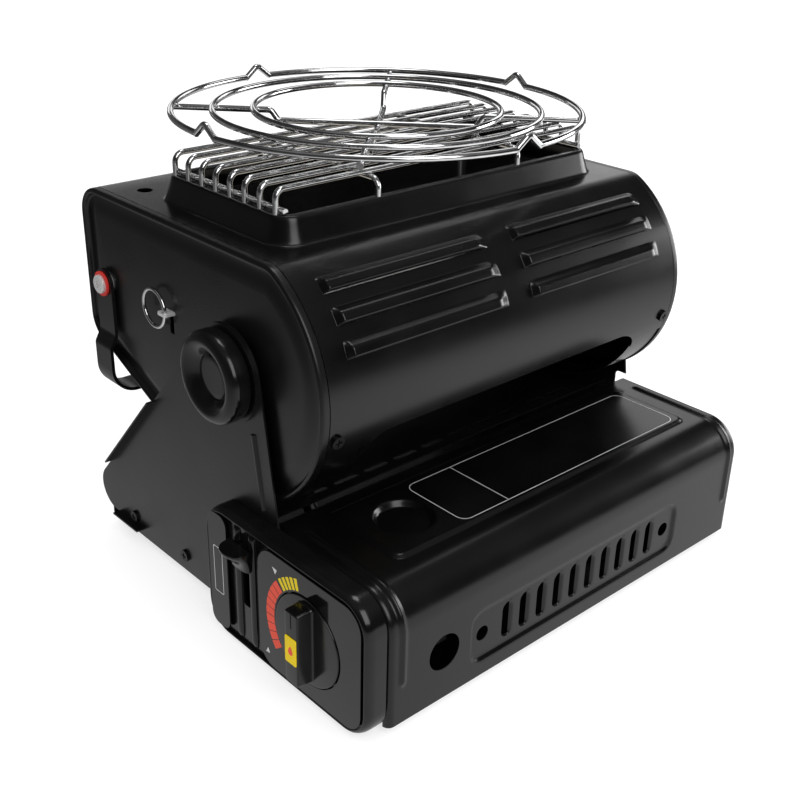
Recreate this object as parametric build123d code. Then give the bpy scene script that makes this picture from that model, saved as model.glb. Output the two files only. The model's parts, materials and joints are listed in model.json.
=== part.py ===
"""Tabletop gas heater and stove: a burner drum that tilts on a base holding a gas cartridge.

Frame: X runs along the drum with the control end at -X, the cartridge lid faces -Y, Z is up.
The pieces are drawn about the drum's middle and moved at the end, so that the origin is the
middle of the whole object's footprint on the surface that it stands on.
"""
from build123d import *
import math
import os

os.makedirs("parts", exist_ok=True)

# Driving dimensions in millimetres and degrees
# Drum section, drawn about the pivot axis
PIVOT_Y = -13.0
PIVOT_Z = 153.5
DRUM_R = 70.0
DRUM_HALF = 137.0
DRUM_TOP_DROP = 7.0
HEAD_REAR_Y = 135.0
HEAD_FLAT_Y = 30.0
HEAD_HEEL = 24.5
HEAD_CORNER_R = 16.0
SHEET = 0.7
LAP_GAP = 0.1
SHELL_EDGE_ANGLE = -17.0
SHELL_TAB_ANGLE = -22.0
SHELL_TAB_LENGTH = 24.0
SHELL_LAP = 9.0
LOWER_CUT_SIDE = 24.0
LOWER_CUT_START = -6.0
LOWER_CUT_END = -104.0
SHELL_SCREW_ANGLE = -13.0
SHELL_SCREW_SET = 5.0

# Drum end plates
RIM_WIDTH = 5.0
RIM_DEPTH = 3.0
BAND_SET = 3.5
BAND_WIDTH = 7.0
FIELD_DROP = 3.0
FIELD_SLOPE = 3.0
SEAT_FLANGE = 12.0

# Pressed louvres on the drum's front, in rows up the arc
LOUVRE_ROWS = 3
LOUVRE_INNER_X = 12.0
LOUVRE_END_SET = 15.9
LOUVRE_FIRST_ANGLE = 19.5
LOUVRE_PITCH_ANGLE = 13.3
LOUVRE_SPAN_ANGLE = 7.6
LOUVRE_RISE = 4.0
LOUVRE_LIP_END = 1.3
LOUVRE_SLIT_ANGLE = 2.0

# Cooking opening with its collar
OPENING_END_SET = 27.0
OPENING_Y = 28.0
OPENING_WIDTH = 98.0
OPENING_CORNER_R = 7.0
TOP_HOLE_SET = 16.4
TOP_HOLE_Y = 99.5
TOP_HOLE_R = 4.4
COLLAR_RUN = 6.0
COLLAR_HEIGHT = 13.5
COLLAR_DRAFT = 2.0
COLLAR_LIP = 5.0

# Reflector and burner below the opening
REFLECTOR_SHEET = 0.6
REFLECTOR_DEPTH = 29.0
REFLECTOR_DRAFT = 7.0
REFLECTOR_CORNER_R = 5.0
BURNER_END_SET = 22.0
BURNER_WIDTH = 56.0
BURNER_PLATE_T = 12.0
BURNER_PROUD = 2.0
BURNER_BOX_CLEAR = 9.0
BURNER_LEDGE = 2.0
PORT_PITCH = 16.0
PORT_R = 2.2
PROBE_R = 3.0
PROBE_SET = 6.0
PROBE_ABOVE = 8.0
PROBE_BELOW = 12.0
PROBE_TIP_R = 0.9
PROBE_TIP = 6.0
PROBE_COLLAR_R = 4.4
PROBE_COLLAR_T = 2.0

# Gas way from the regulator to the burner, which crosses the tilt on the pivot axis
PIPE_R = 4.5
PIPE_SET = 43.0
PIPE_BEND_R = 24.0
PIPE_RUN = 32.0
PIPE_START_Z = 50.0
PIPE_ROOM = 1.0
INLET_LENGTH = 22.0
JET_R = 6.0
JET_LENGTH = 12.0
JET_HOLE_R = 0.8
JET_GAP = 4.0
JET_BRACKET_T = 2.0
JET_BRACKET_RUN = 30.0
MIXER_R = 7.0
MIXER_MOUTH_R = 12.0
MIXER_MOUTH = 10.0
MIXER_WALL = 1.2
MIXER_END_SET = 27.9
MIXER_BEND_R = 8.5

# Guard of bent wires over the opening
GUARD_BARS = 8
GUARD_PITCH = 12.65
GUARD_WIRE_R = 1.5
GUARD_RISE = 12.0
GUARD_BEND_R = 5.0
GUARD_POST_SET = 2.2
GUARD_CROSS_SET = 58.0
GUARD_RAIL_OVER = 4.0
WIRE_GAP = 0.05

# Trivet that lifts off the guard
TRIVET_Y = 38.0
TRIVET_R = 114.3
TRIVET_RINGS = 3
TRIVET_RING_PITCH = 22.5
TRIVET_WIRE_R = 1.75
TRIVET_STEP_SET = 9.3
TRIVET_STEP = 9.0
TRIVET_BEND_R = 4.0
TRIVET_OVERHANG = 2.5
TRIVET_KINKS = 4
TRIVET_KINK = 6.5
TRIVET_KINK_HALF = 8.5
TRIVET_KINK_R = 3.0
TRIVET_SPOKE_ANGLE = 45.0
REST_GAP = 0.3
WELD = 0.3

# Pivot: stud on the drum, bush in the bracket, boss and clamp knob outside
STUD_R = 5.0
STUD_HEAD_R = 14.0
STUD_HEAD_T = 2.0
STUD_TIP_GAP = 0.3
RUN_FIT = 0.05
SIDE_GAP = 0.3
BUSH_R = 11.0
BOSS_R = 26.0
BOSS_T = 2.0
KNOB_R = 24.5
KNOB_NECK_R = 20.0
KNOB_NECK = 3.0
KNOB_FLARE = 2.0
KNOB_LENGTH = 12.2
KNOB_ROUND_R = 4.5
KNOB_DISH_R = 17.6
KNOB_DISH_FLOOR_R = 11.5
KNOB_DISH = 3.8
KNOB_CAP = 5.5

# Side brackets
BRACKET_GAP = 2.8
BRACKET_T = 1.0
BRACKET_APEX_R = 26.0
BRACKET_HEEL_Y = 152.7
BRACKET_HEEL_R = 14.0
BRACKET_BOTTOM_Z = 12.0
BRACKET_TOE_Y = -62.5
BRACKET_FLANGE = 5.0
BRACKET_BEAD_R = 2.2
BRACKET_BEAD_SET = 11.0
BRACKET_BEAD_SINK = 1.0
BRACKET_BEAD_START = 30.0
BRACKET_BEAD_LENGTH = 41.0
REAR_FLANGE_START = 84.0
REAR_FLANGE_LENGTH = 84.0
FOOT_FLANGE_START = 37.0
FOOT_FLANGE_LENGTH = 28.0
EAR_R = 3.2
EAR_DROP = 8.0
EAR_ROOM = 0.6
NOTCH_ROOM = 0.7
NOTCH_Z = 84.0

# Base pan, feet, heat shield and the wall behind the cartridge
PAN_Z = 6.0
PAN_T = 0.9
PAN_FRONT_Y = -128.0
PAN_REAR_Y = 126.0
PAN_FRONT_OVER = 5.7
PAN_FLANGE = 18.0
PAN_LIP = 9.0
PAN_FLANGE_REAR_Y = 112.0
FOOT_R = 8.0
FOOT_TIP_R = 7.0
FOOT_SET = 20.0
FOOT_FRONT_SET = 16.0
FOOT_REAR_SET = 30.0
WALL_Y = -37.0
WALL_SET = 7.0
WALL_FOOT = 10.0
STRIP_GAP = 1.0
STRIP_FRONT_SET = 0.5
SHIELD_GAP = 8.0
SHIELD_FRONT_GAP = 1.0
SHIELD_REAR_Y = 66.0
SHIELD_FLANGE = 14.0
SHIELD_FLANGE_SET = 10.0
SHIELD_SLOTS = 10
SHIELD_SLOT_LENGTH = 17.0
SHIELD_SLOT_WIDTH = 3.6
SHIELD_SLOT_MARGIN = 29.8
SHIELD_SLOT_SET = 8.0

# Cartridge lid
LID_SIDE_GAP = 1.3
LID_OVER = 7.0
LID_FRONT_Y = -134.0
LID_REAR_Y = -45.5
LID_TOP_Z = 77.6
LID_BOTTOM_Z = 4.0
LID_CORNER_R = 21.0
LID_AXIS_SET = 3.5
LID_AXIS_DROP = 4.6
LID_PIN_R = 2.0
LID_PIN_HEAD_R = 3.6
LID_PIN_HEAD_T = 1.0
LID_EAR_R = 4.0
PRESS = 1.4
PANEL_LEFT_SET = 28.5
PANEL_RIGHT_SET = 22.0
PANEL_FRONT_SET = 26.5
PANEL_REAR_SET = 7.0
PANEL_R = 6.0
DISH_SET = 29.0
DISH_R = 17.0
DISH_DEPTH = 2.6
DISH_SLOPE = 4.0
VENT_LEFT_SET = 55.5
VENT_RIGHT_SET = 58.0
VENT_LOW_Z = 12.5
VENT_HIGH_Z = 46.0
VENT_R = 9.0
VENT_SLOTS = 10
VENT_SLOT_SET = 26.2
VENT_SLOT_WIDTH = 4.6
VENT_SLOT_HEIGHT = 22.0
VENT_FLANK_RUN = 1.6
VENT_FLANK_DEPTH = 1.8
VENT_HOLE_R = 4.3
VENT_HOLE_SET = 10.0
SIGHT_HOLE_R = 10.3
SIGHT_HOLE_SET = 37.0
SIGHT_HOLE_Z = 32.8
BEAD_R = 2.4
BEAD_PROUD = 1.5
BEAD_SET = 9.0
BEAD_REAR_SET = 16.0
BEAD_LOW_Z = 29.0

# Control end: bezel, plates, lever and valve knob
BEZEL_DEPTH = 12.0
BEZEL_FRONT_Y = -135.0
BEZEL_REAR_Y = -1.0
BEZEL_LOW_Z = 1.0
BEZEL_HIGH_Z = 81.0
BEZEL_R = 18.0
BEZEL_WALL = 3.0
BEZEL_EDGE_R = 5.5
BEZEL_BACK_SET = 2.0
PLATE_T = 0.8
PLATE_SINK = 0.4
PLATE_SET = 4.5
PLATE_R = 12.0
STRIP_LENGTH = 16.5
CHANNEL_WIDTH = 24.0
CHANNEL_DEPTH = 1.2
CHANNEL_GAP = 2.0
CHANNEL_RIDGE_SET = 6.2
CHANNEL_RIDGE_W = 4.6
LEVER_Z = 62.5
LEVER_STEM = 5.0
LEVER_STEM_H = 10.0
LEVER_ROOM = 0.6
LEVER_TRAVEL = 28.0
LEVER_TAB_WIDTH = 19.0
LEVER_TAB_REACH = 11.5
LEVER_TAB_ROOT = 13.0
LEVER_TAB_TIP = 4.0
LEVER_GUIDE = 6.0
LEVER_GUIDE_T = 1.5
LEVER_ARM_T = 3.0
LEVER_ARM_RUN = 24.0
VALVE_Y = -90.0
VALVE_Z = 39.6
VALVE_DISC_R = 25.0
VALVE_DISC_T = 1.2
VALVE_DISC_ROOM = 0.8
VALVE_GRIP_W = 10.0
VALVE_GRIP_L = 42.5
VALVE_GRIP_H = 9.1
VALVE_GRIP_DRAFT = 2.0
INSERT_L = 15.4
INSERT_W = 8.6
INSERT_T = 0.5
INSERT_SHIFT = -0.9
SPINDLE_R = 3.5
SPINDLE_SEAT = 12.0
SPINDLE_ROOM = 0.6
SPINDLE_GRIP = 6.0

# Regulator, cartridge seat and lock
REG_SET = 7.8
REG_LENGTH = 48.0
REG_FRONT_Y = -118.0
REG_REAR_Y = -62.0
REG_LOW_Z = 20.0
REG_HIGH_Z = 58.0
REG_EDGE_R = 4.0
REG_FOOT_SET = 12.0
CARTRIDGE_Y = -90.0
CARTRIDGE_Z = 39.0
CARTRIDGE_R = 30.0
SEAT_R = 15.0
SEAT_LENGTH = 8.0
SEAT_BORE_R = 8.0
SEAT_BORE = 5.0
LOCK_GAP = 4.0
LOCK_T = 2.0
LOCK_HALF = 26.0
LOCK_HEIGHT = 20.0
LOCK_THROAT_R = 16.5
LOCK_ROD_R = 2.5
LOCK_ROD_SET = 21.5
LOCK_ROD_DEPTH = 20.0
LOCK_TRAVEL = 6.0
CRADLE_X = 12.0
CRADLE_PITCH = 100.0
CRADLE_LENGTH = 20.0
CRADLE_T = 2.0
CRADLE_WIDTH = 44.0
PIEZO_R = 5.5
PIEZO_LENGTH = 30.0
PIEZO_SET = 10.0

# Carrying handle
HANDLE_Y = 112.0
HANDLE_Z = 164.0
HANDLE_GAP = 0.5
HANDLE_T = 2.0
HANDLE_WIDTH = 17.0
HANDLE_DROP = 67.0
HANDLE_JOGGLE_TOP = 30.0
HANDLE_JOGGLE_RUN = 7.0
HANDLE_JOGGLE = 4.0
HANDLE_JOGGLE_R = 4.0
HANDLE_BEND_R = 15.0
HANDLE_PIN_R = 3.0
HANDLE_HEAD_R = 5.4
HANDLE_HEAD_H = 2.2
HANDLE_WASHER_R = 7.2
HANDLE_WASHER_T = 1.2
HANDLE_SPACER_R = 6.0
HANDLE_NUT_R = 6.0
HANDLE_NUT_T = 3.0

# Pull ring latch on the control end
LATCH_Y = 46.0
LATCH_Z = 167.0
LATCH_W = 3.4
LATCH_H = 13.0
LATCH_ROOM = 0.35
LATCH_REACH = 12.0
LATCH_LEAF_W = 8.0
LATCH_LEAF_T = 1.6
LATCH_GUIDE_T = 8.0
LATCH_GUIDE_WALL = 4.0
LATCH_TRAVEL = 5.0
LATCH_STOP_W = 9.0
LATCH_STOP_T = 2.0
RING_R = 10.5
RING_WIRE_R = 1.0
RING_ROOM = 0.5
RING_EDGE = 2.6

# Screws
SCREW_R = 1.9
SCREW_HEAD_R = 3.6
SCREW_HEAD_H = 1.6
SCREW_LENGTH = 7.0
SCREW_SLOT_W = 0.9
SCREW_SLOT_L = 4.2
SCREW_SLOT_DEPTH = 0.7
BRACKET_SCREWS = 3
BRACKET_SCREW_PITCH = 56.0
BRACKET_SCREW_Y = 40.0
BRACKET_SCREW_RISE = 12.0

# Values that follow from the driving dimensions
DRUM_TOP = DRUM_R - DRUM_TOP_DROP
HEAD_TOP_Z = PIVOT_Z + DRUM_TOP
HEAD_LOW_Z = PIVOT_Z - DRUM_R
HEAD_HEEL_Z = PIVOT_Z - HEAD_HEEL
RIM_X = DRUM_HALF - RIM_WIDTH
BAND_X = DRUM_HALF - BAND_SET
FIELD_X = BAND_X - FIELD_DROP
FIELD_BACK_X = FIELD_X - SHEET
SHELL_HALF = RIM_X - LAP_GAP
LOUVRE_LENGTH = SHELL_HALF - LOUVRE_END_SET - LOUVRE_INNER_X
LOUVRE_RUN = DRUM_R * math.radians(LOUVRE_SPAN_ANGLE)
LOUVRE_END_R = LOUVRE_RUN - LOUVRE_LIP_END
OPENING_HALF = DRUM_HALF - OPENING_END_SET
BURNER_HALF = OPENING_HALF - BURNER_END_SET
BAND_INSET = RIM_DEPTH + BAND_WIDTH
FIELD_INSET = BAND_INSET + FIELD_SLOPE
BRACKET_IN_X = DRUM_HALF + BRACKET_GAP
BRACKET_X = BRACKET_IN_X + BRACKET_T
BOSS_X = BRACKET_X + BOSS_T
KNOB_X = BOSS_X + SIDE_GAP
KNOB_END_X = KNOB_X + KNOB_LENGTH
STUD_END_X = KNOB_END_X - KNOB_CAP - STUD_TIP_GAP
TOP_UNDER_Z = HEAD_TOP_Z - SHEET
COLLAR_TOP_Z = HEAD_TOP_Z + COLLAR_HEIGHT
REFLECTOR_Z = TOP_UNDER_Z - REFLECTOR_DEPTH
BURNER_TOP_Z = REFLECTOR_Z + REFLECTOR_SHEET + BURNER_PROUD
BURNER_UNDER_Z = BURNER_TOP_Z - BURNER_PLATE_T
BOX_LOW_Z = PIVOT_Z + BURNER_BOX_CLEAR
PROBE_X = BURNER_HALF + PROBE_SET
PIPE_X = PIPE_SET - DRUM_HALF
PIPE_END_X = PIPE_X + PIPE_RUN
INLET_X = PIPE_END_X + LAP_GAP
JET_X = INLET_X + INLET_LENGTH
MIXER_X = JET_X + JET_LENGTH + JET_GAP
MIXER_END_X = BURNER_HALF - MIXER_END_SET
GUARD_X = OPENING_HALF + COLLAR_RUN - COLLAR_DRAFT - GUARD_POST_SET
GUARD_CROSS_X = OPENING_HALF - GUARD_CROSS_SET
GUARD_LEG_Y = OPENING_WIDTH / 2 + COLLAR_RUN - COLLAR_DRAFT - GUARD_POST_SET
GUARD_Z = COLLAR_TOP_Z + GUARD_RISE
CROSS_Z = GUARD_Z - 2 * GUARD_WIRE_R - WIRE_GAP
TRIVET_LOW_Z = GUARD_Z + GUARD_WIRE_R + REST_GAP + TRIVET_WIRE_R
TRIVET_SPOKE_Z = TRIVET_LOW_Z + TRIVET_STEP
TRIVET_INNER_R = TRIVET_R - (TRIVET_RINGS - 1) * TRIVET_RING_PITCH
TRIVET_STEP_R = TRIVET_INNER_R - TRIVET_STEP_SET
TRIVET_RING_Z = TRIVET_SPOKE_Z + 2 * TRIVET_WIRE_R - WELD
PAN_TOP_Z = PAN_Z + PAN_T
SHIELD_Z = HEAD_LOW_Z - SHIELD_GAP
SHIELD_SLOT_PITCH = 2 * (BRACKET_IN_X - SHIELD_SLOT_MARGIN) / SHIELD_SLOTS
LID_LEFT_X = -BRACKET_IN_X + LID_SIDE_GAP
LID_RIGHT_X = BRACKET_X + LID_OVER
LID_AXIS_Y = LID_REAR_Y - LID_AXIS_SET
LID_AXIS_Z = LID_TOP_Z - LID_AXIS_DROP
STRIP_Z = LID_AXIS_Z - STRIP_GAP
NOTCH_Y = LID_AXIS_Y + math.hypot(LID_AXIS_SET, LID_AXIS_DROP) + NOTCH_ROOM
PANEL_X = (LID_LEFT_X + PANEL_LEFT_SET, LID_RIGHT_X - PANEL_RIGHT_SET)
PANEL_Y = (LID_FRONT_Y + PANEL_FRONT_SET, LID_REAR_Y - PANEL_REAR_SET)
VENT_LEFT_X = LID_LEFT_X + VENT_LEFT_SET
VENT_RIGHT_X = LID_RIGHT_X - VENT_RIGHT_SET
VENT_SLOT_PITCH = (VENT_RIGHT_X - VENT_LEFT_X - 2 * VENT_SLOT_SET) / (VENT_SLOTS - 1)
BEZEL_X = -BRACKET_X - BEZEL_DEPTH
BEZEL_FACE_IN_X = BEZEL_X + BEZEL_WALL
PLATE_FACE_X = BEZEL_X + PLATE_SINK - PLATE_T
STRIP_REAR_Y = BEZEL_REAR_Y - PLATE_SET
CHANNEL_REAR_Y = STRIP_REAR_Y - STRIP_LENGTH - CHANNEL_GAP
CHANNEL_FRONT_Y = CHANNEL_REAR_Y - CHANNEL_WIDTH
LEVER_Y = (CHANNEL_FRONT_Y + CHANNEL_REAR_Y) / 2
DISC_X = BEZEL_X + PLATE_SINK - SIDE_GAP
GRIP_BASE_X = DISC_X - VALVE_DISC_T
GRIP_X = GRIP_BASE_X - VALVE_GRIP_H
LEVER_TIP_X = BEZEL_X - SIDE_GAP - LEVER_TAB_REACH
REG_X = -BRACKET_IN_X + REG_SET
REG_END_X = REG_X + REG_LENGTH
SEAT_END_X = REG_END_X + SEAT_LENGTH
LOCK_X = SEAT_END_X + LOCK_GAP
HANDLE_X = DRUM_HALF + HANDLE_GAP
WASHER_X = HANDLE_X + HANDLE_T + SIDE_GAP
ARM_MID_X = HANDLE_X + HANDLE_T / 2
HANDLE_LOW_Z = HANDLE_Z - HANDLE_DROP
LATCH_TIP_X = -FIELD_X - LATCH_REACH
LATCH_STOP_X = -FIELD_BACK_X + LATCH_GUIDE_T + LATCH_TRAVEL + LATCH_ROOM
RING_X = LATCH_TIP_X + RING_EDGE
LEFT_END = min(GRIP_X - INSERT_T, LEVER_TIP_X)
RIGHT_END = max(KNOB_END_X, LID_RIGHT_X)
FRONT_END = min(BEZEL_FRONT_Y, LID_FRONT_Y - BEAD_PROUD)
REAR_END = TRIVET_Y + TRIVET_R + TRIVET_WIRE_R
ORIGIN_X = (LEFT_END + RIGHT_END) / 2
ORIGIN_Y = (FRONT_END + REAR_END) / 2


def yz(x):
    """Plane across the drum at x, whose own axes are Y and Z."""
    return Plane(origin=(x, 0, 0), x_dir=(0, 1, 0), z_dir=(1, 0, 0))


def xz(y):
    """Plane along the drum at y, whose own axes are X and Z, facing the front."""
    return Plane(origin=(0, y, 0), x_dir=(1, 0, 0), z_dir=(0, -1, 0))


def prism(sketch, x0, x1):
    """Sketch in Y and Z carried along X from x0 to x1."""
    return extrude(yz(x0) * sketch, amount=x1 - x0)


def rod(x0, x1, y, z, radius):
    """Round bar along X."""
    return prism(Pos(y, z) * Circle(radius), x0, x1)


def tube(x0, x1, y, z, outer, inner):
    """Round sleeve along X."""
    return prism(Pos(y, z) * (Circle(outer) - Circle(inner)), x0, x1)


def block(x, y, z):
    """Box between two values on each axis."""
    size = (x[1] - x[0], y[1] - y[0], z[1] - z[0])
    middle = ((x[0] + x[1]) / 2, (y[0] + y[1]) / 2, (z[0] + z[1]) / 2)
    return Pos(*middle) * Box(*size)


def slab(x, y, z, radius):
    """Plate lying flat between two heights, with rounded corners."""
    plan = Pos((x[0] + x[1]) / 2, (y[0] + y[1]) / 2, z[0])
    return extrude(plan * RectangleRounded(x[1] - x[0], y[1] - y[0], radius), amount=z[1] - z[0])


def rounded_face(low, high, radius):
    """Rounded rectangle between two corners of a sketch."""
    place = Pos((low[0] + high[0]) / 2, (low[1] + high[1]) / 2)
    return place * RectangleRounded(high[0] - low[0], high[1] - low[1], radius)


def turned(profile, y, z):
    """Profile of length along X and radius, turned about a line along X."""
    plane = Plane(origin=(0, y, z), x_dir=(1, 0, 0), z_dir=(0, -1, 0))
    return revolve(plane * profile, Axis((0, y, z), (1, 0, 0)), 360)


def polygon(points):
    """Face with straight sides."""
    return make_face(Polyline(*points, close=True))


def mirrored(shape):
    """The same piece for the other end of the drum."""
    return mirror(shape, about=Plane.YZ)


def both_ends(shape):
    """A right-hand piece and its mirror image."""
    return Compound([shape, mirrored(shape)])


def on_arc(radius, angle):
    """Point of the drum's section, with the angle counted up from the front."""
    turn = math.radians(angle)
    return (PIVOT_Y - radius * math.cos(turn), PIVOT_Z + radius * math.sin(turn))


def wire(points, radius, bends):
    """Round wire along straight runs with rounded bends."""
    path = FilletPolyline(*points, radius=bends)
    start = Plane(origin=path @ 0, z_dir=path % 0)
    return sweep(start * Circle(radius), path=path)


def fused(pieces):
    """Pieces welded into one."""
    whole = pieces[0]
    return whole.fuse(*pieces[1:])


def screw(plane):
    """Pan-head screw with a cross slot, its head standing on the plane."""
    shank = extrude(plane * Circle(SCREW_R), amount=-SCREW_LENGTH)
    head = extrude(plane * Circle(SCREW_HEAD_R), amount=SCREW_HEAD_H)
    cross = Rectangle(SCREW_SLOT_L, SCREW_SLOT_W) + Rectangle(SCREW_SLOT_W, SCREW_SLOT_L)
    slot = extrude(plane.offset(SCREW_HEAD_H) * cross, amount=-SCREW_SLOT_DEPTH)
    return shank + head - slot


def head_outline(inset=0.0):
    """Section of the drum: an arc in front, flat above, below and behind, with a sloped heel."""
    brow_y = PIVOT_Y - math.sqrt(DRUM_R ** 2 - DRUM_TOP ** 2)
    edges = [
        Line((PIVOT_Y, HEAD_LOW_Z), (HEAD_FLAT_Y, HEAD_LOW_Z)),
        Line((HEAD_FLAT_Y, HEAD_LOW_Z), (HEAD_REAR_Y, HEAD_HEEL_Z)),
        Line((HEAD_REAR_Y, HEAD_HEEL_Z), (HEAD_REAR_Y, HEAD_TOP_Z)),
        Line((HEAD_REAR_Y, HEAD_TOP_Z), (brow_y, HEAD_TOP_Z)),
        ThreePointArc((brow_y, HEAD_TOP_Z), (PIVOT_Y - DRUM_R, PIVOT_Z), (PIVOT_Y, HEAD_LOW_Z)),
    ]
    face = make_face(edges)
    smooth = Vector(PIVOT_Y, HEAD_LOW_Z)
    corners = [v for v in face.vertices() if (Vector(v) - smooth).length > SHEET]
    rounded = fillet(corners, HEAD_CORNER_R)
    if inset:
        return offset(rounded, amount=-inset)
    return rounded


def band_ring(outer, inner):
    """Strip between two insets of the drum's section."""
    return head_outline(outer) - head_outline(inner)


def above(front_angle, rear_z):
    """Everything above a ray through the pivot in front and above a height behind."""
    reach = 4 * DRUM_R
    front = on_arc(reach, front_angle)
    points = [
        (PIVOT_Y, PIVOT_Z),
        front,
        (front[0], PIVOT_Z + reach),
        (PIVOT_Y + reach, PIVOT_Z + reach),
        (PIVOT_Y + reach, rear_z),
        (PIVOT_Y, rear_z),
    ]
    return polygon(points)


def louvre(side, row, wall):
    """Wedge of one louvre, or with a wall the hollow behind it, open along its lower lip."""
    low = LOUVRE_FIRST_ANGLE + row * LOUVRE_PITCH_ANGLE
    high = low + LOUVRE_SPAN_ANGLE
    middle_x = side * (LOUVRE_INNER_X + LOUVRE_LENGTH / 2)
    half = LOUVRE_LENGTH / 2 - wall
    slit = LOUVRE_SLIT_ANGLE * wall / SHEET
    wedge = [
        on_arc(DRUM_R - SHEET / 2 - wall, high),
        on_arc(DRUM_R + LOUVRE_RISE - wall, low),
        on_arc(DRUM_R - SHEET / 2 - wall, low - slit),
    ]
    body = prism(polygon(wedge), middle_x - half, middle_x + half)
    turn = math.radians(low)
    outward = (0, -math.cos(turn), math.sin(turn))
    plan = Plane(origin=(middle_x, *on_arc(DRUM_R, low)), x_dir=(1, 0, 0), z_dir=outward)
    depth = 2 * LOUVRE_RUN - 2 * wall
    outline = plan * RectangleRounded(2 * half, depth, LOUVRE_END_R - wall)
    cap = extrude(outline, amount=DRUM_R / 4, both=True)
    return body & cap


def louvre_places():
    """Each louvre's side and row."""
    return [(side, row) for side in (-1, 1) for row in range(LOUVRE_ROWS)]


def shell_screw_planes():
    """Places of the two screws that hold the shells' front edge, facing out of the drum."""
    turn = math.radians(SHELL_SCREW_ANGLE)
    outward = (0, -math.cos(turn), math.sin(turn))
    x = SHELL_HALF - SHELL_SCREW_SET
    return [Plane(origin=(s * x, *on_arc(DRUM_R, SHELL_SCREW_ANGLE)), z_dir=outward) for s in (-1, 1)]


def shell_screw_bores():
    """Clearance holes for the shell screws through both shells and the seats."""
    hole = Circle(SCREW_R + LAP_GAP)
    bores = [extrude(p * hole, amount=SCREW_LENGTH, both=True) for p in shell_screw_planes()]
    return bores[0] + bores[1]


def opening_plan(extra, corner):
    """Cooking opening in plan, wider or narrower by extra on each side."""
    length = 2 * (OPENING_HALF + extra)
    return Pos(0, OPENING_Y) * RectangleRounded(length, OPENING_WIDTH + 2 * extra, corner)


def collar_plan(extra):
    """Collar outline in plan, with corners that follow the opening's."""
    return opening_plan(extra, OPENING_CORNER_R + extra)


def upper_shell():
    """Front, top and rear of the drum in one sheet, with louvres and the cooking opening."""
    tabbed = above(SHELL_TAB_ANGLE, HEAD_HEEL_Z)
    sheet = prism(band_ring(0, SHEET) & tabbed, -SHELL_HALF, SHELL_HALF)
    middle = SHELL_HALF - SHELL_TAB_LENGTH
    sheet = sheet - prism(tabbed - above(SHELL_EDGE_ANGLE, HEAD_HEEL_Z), -middle, middle)
    for side, row in louvre_places():
        sheet = sheet + louvre(side, row, 0)
        sheet = sheet - louvre(side, row, SHEET)
    vent = Pos(TOP_HOLE_SET - SHELL_HALF, TOP_HOLE_Y) * Circle(TOP_HOLE_R)
    hole = Pos(0, 0, TOP_UNDER_Z - SHEET) * (opening_plan(0, OPENING_CORNER_R) + vent)
    return sheet - extrude(hole, amount=3 * SHEET) - shell_screw_bores()


def lower_shell():
    """Bottom pan of the drum, lapped inside the upper shell, with its large front cut-out."""
    outer = SHEET + LAP_GAP
    lap_angle = math.degrees(SHELL_LAP / DRUM_R)
    strip = band_ring(outer, outer + SHEET) - above(SHELL_TAB_ANGLE + lap_angle, HEAD_HEEL_Z + SHELL_LAP)
    pan = prism(strip, -SHELL_HALF, SHELL_HALF)
    reach = 2 * DRUM_R
    fan = [(PIVOT_Y, PIVOT_Z), on_arc(reach, LOWER_CUT_START), on_arc(reach, LOWER_CUT_END)]
    half = SHELL_HALF - LOWER_CUT_SIDE
    return pan - prism(polygon(fan), -half, half) - shell_screw_bores()


def latch_slot(room):
    """Section of the latch blade, with room around it."""
    return Pos(LATCH_Y, LATCH_Z - LATCH_H / 2) * Rectangle(LATCH_W + 2 * room, LATCH_H + 2 * room)


def end_plate():
    """Right-hand drum end: rolled rim, seat for the shells, stepped border and sunk field."""
    rim = prism(band_ring(0, RIM_DEPTH), RIM_X, DRUM_HALF)
    seat_inset = 2 * (SHEET + LAP_GAP)
    seat = prism(band_ring(seat_inset, seat_inset + SHEET), RIM_X - SEAT_FLANGE, RIM_X + SHEET)
    dish = prism(head_outline(RIM_DEPTH - SHEET / 2), FIELD_BACK_X, BAND_X)
    field = yz(FIELD_X) * head_outline(FIELD_INSET)
    band = yz(BAND_X) * head_outline(BAND_INSET)
    pocket = loft([field, band], ruled=True)
    band_back_x = BAND_X - SHEET
    behind = prism(head_outline(seat_inset), FIELD_BACK_X, band_back_x)
    field_back = yz(FIELD_BACK_X) * head_outline(FIELD_INSET - SHEET)
    band_back = yz(band_back_x) * head_outline(BAND_INSET - SHEET)
    plate = rim + (dish - pocket - (behind - loft([field_back, band_back], ruled=True))) + seat
    plate = plate - rod(FIELD_BACK_X, FIELD_X, PIVOT_Y, PIVOT_Z, STUD_R + RUN_FIT)
    plate = plate - rod(FIELD_BACK_X, FIELD_X, HANDLE_Y, HANDLE_Z, HANDLE_PIN_R + RUN_FIT)
    return plate - shell_screw_bores()


def left_end_plate():
    """Drum end on the control side, with the slot of the pull latch."""
    return mirrored(end_plate()) - prism(latch_slot(LATCH_ROOM), -FIELD_X, -FIELD_BACK_X)


def opening_collar():
    """Frame folded up round the cooking opening, with a lip turned in along its top."""
    crest = COLLAR_RUN - COLLAR_DRAFT
    foot = Pos(0, 0, HEAD_TOP_Z) * collar_plan(COLLAR_RUN)
    frame = loft([foot, Pos(0, 0, COLLAR_TOP_Z) * collar_plan(crest)], ruled=True)
    foot_in = Pos(0, 0, HEAD_TOP_Z) * collar_plan(COLLAR_RUN - SHEET)
    hollow = loft([foot_in, Pos(0, 0, COLLAR_TOP_Z - SHEET) * collar_plan(crest - SHEET)], ruled=True)
    mouth = Pos(0, 0, HEAD_TOP_Z) * collar_plan(crest - COLLAR_LIP)
    return frame - hollow - extrude(mouth, amount=2 * COLLAR_HEIGHT)


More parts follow.
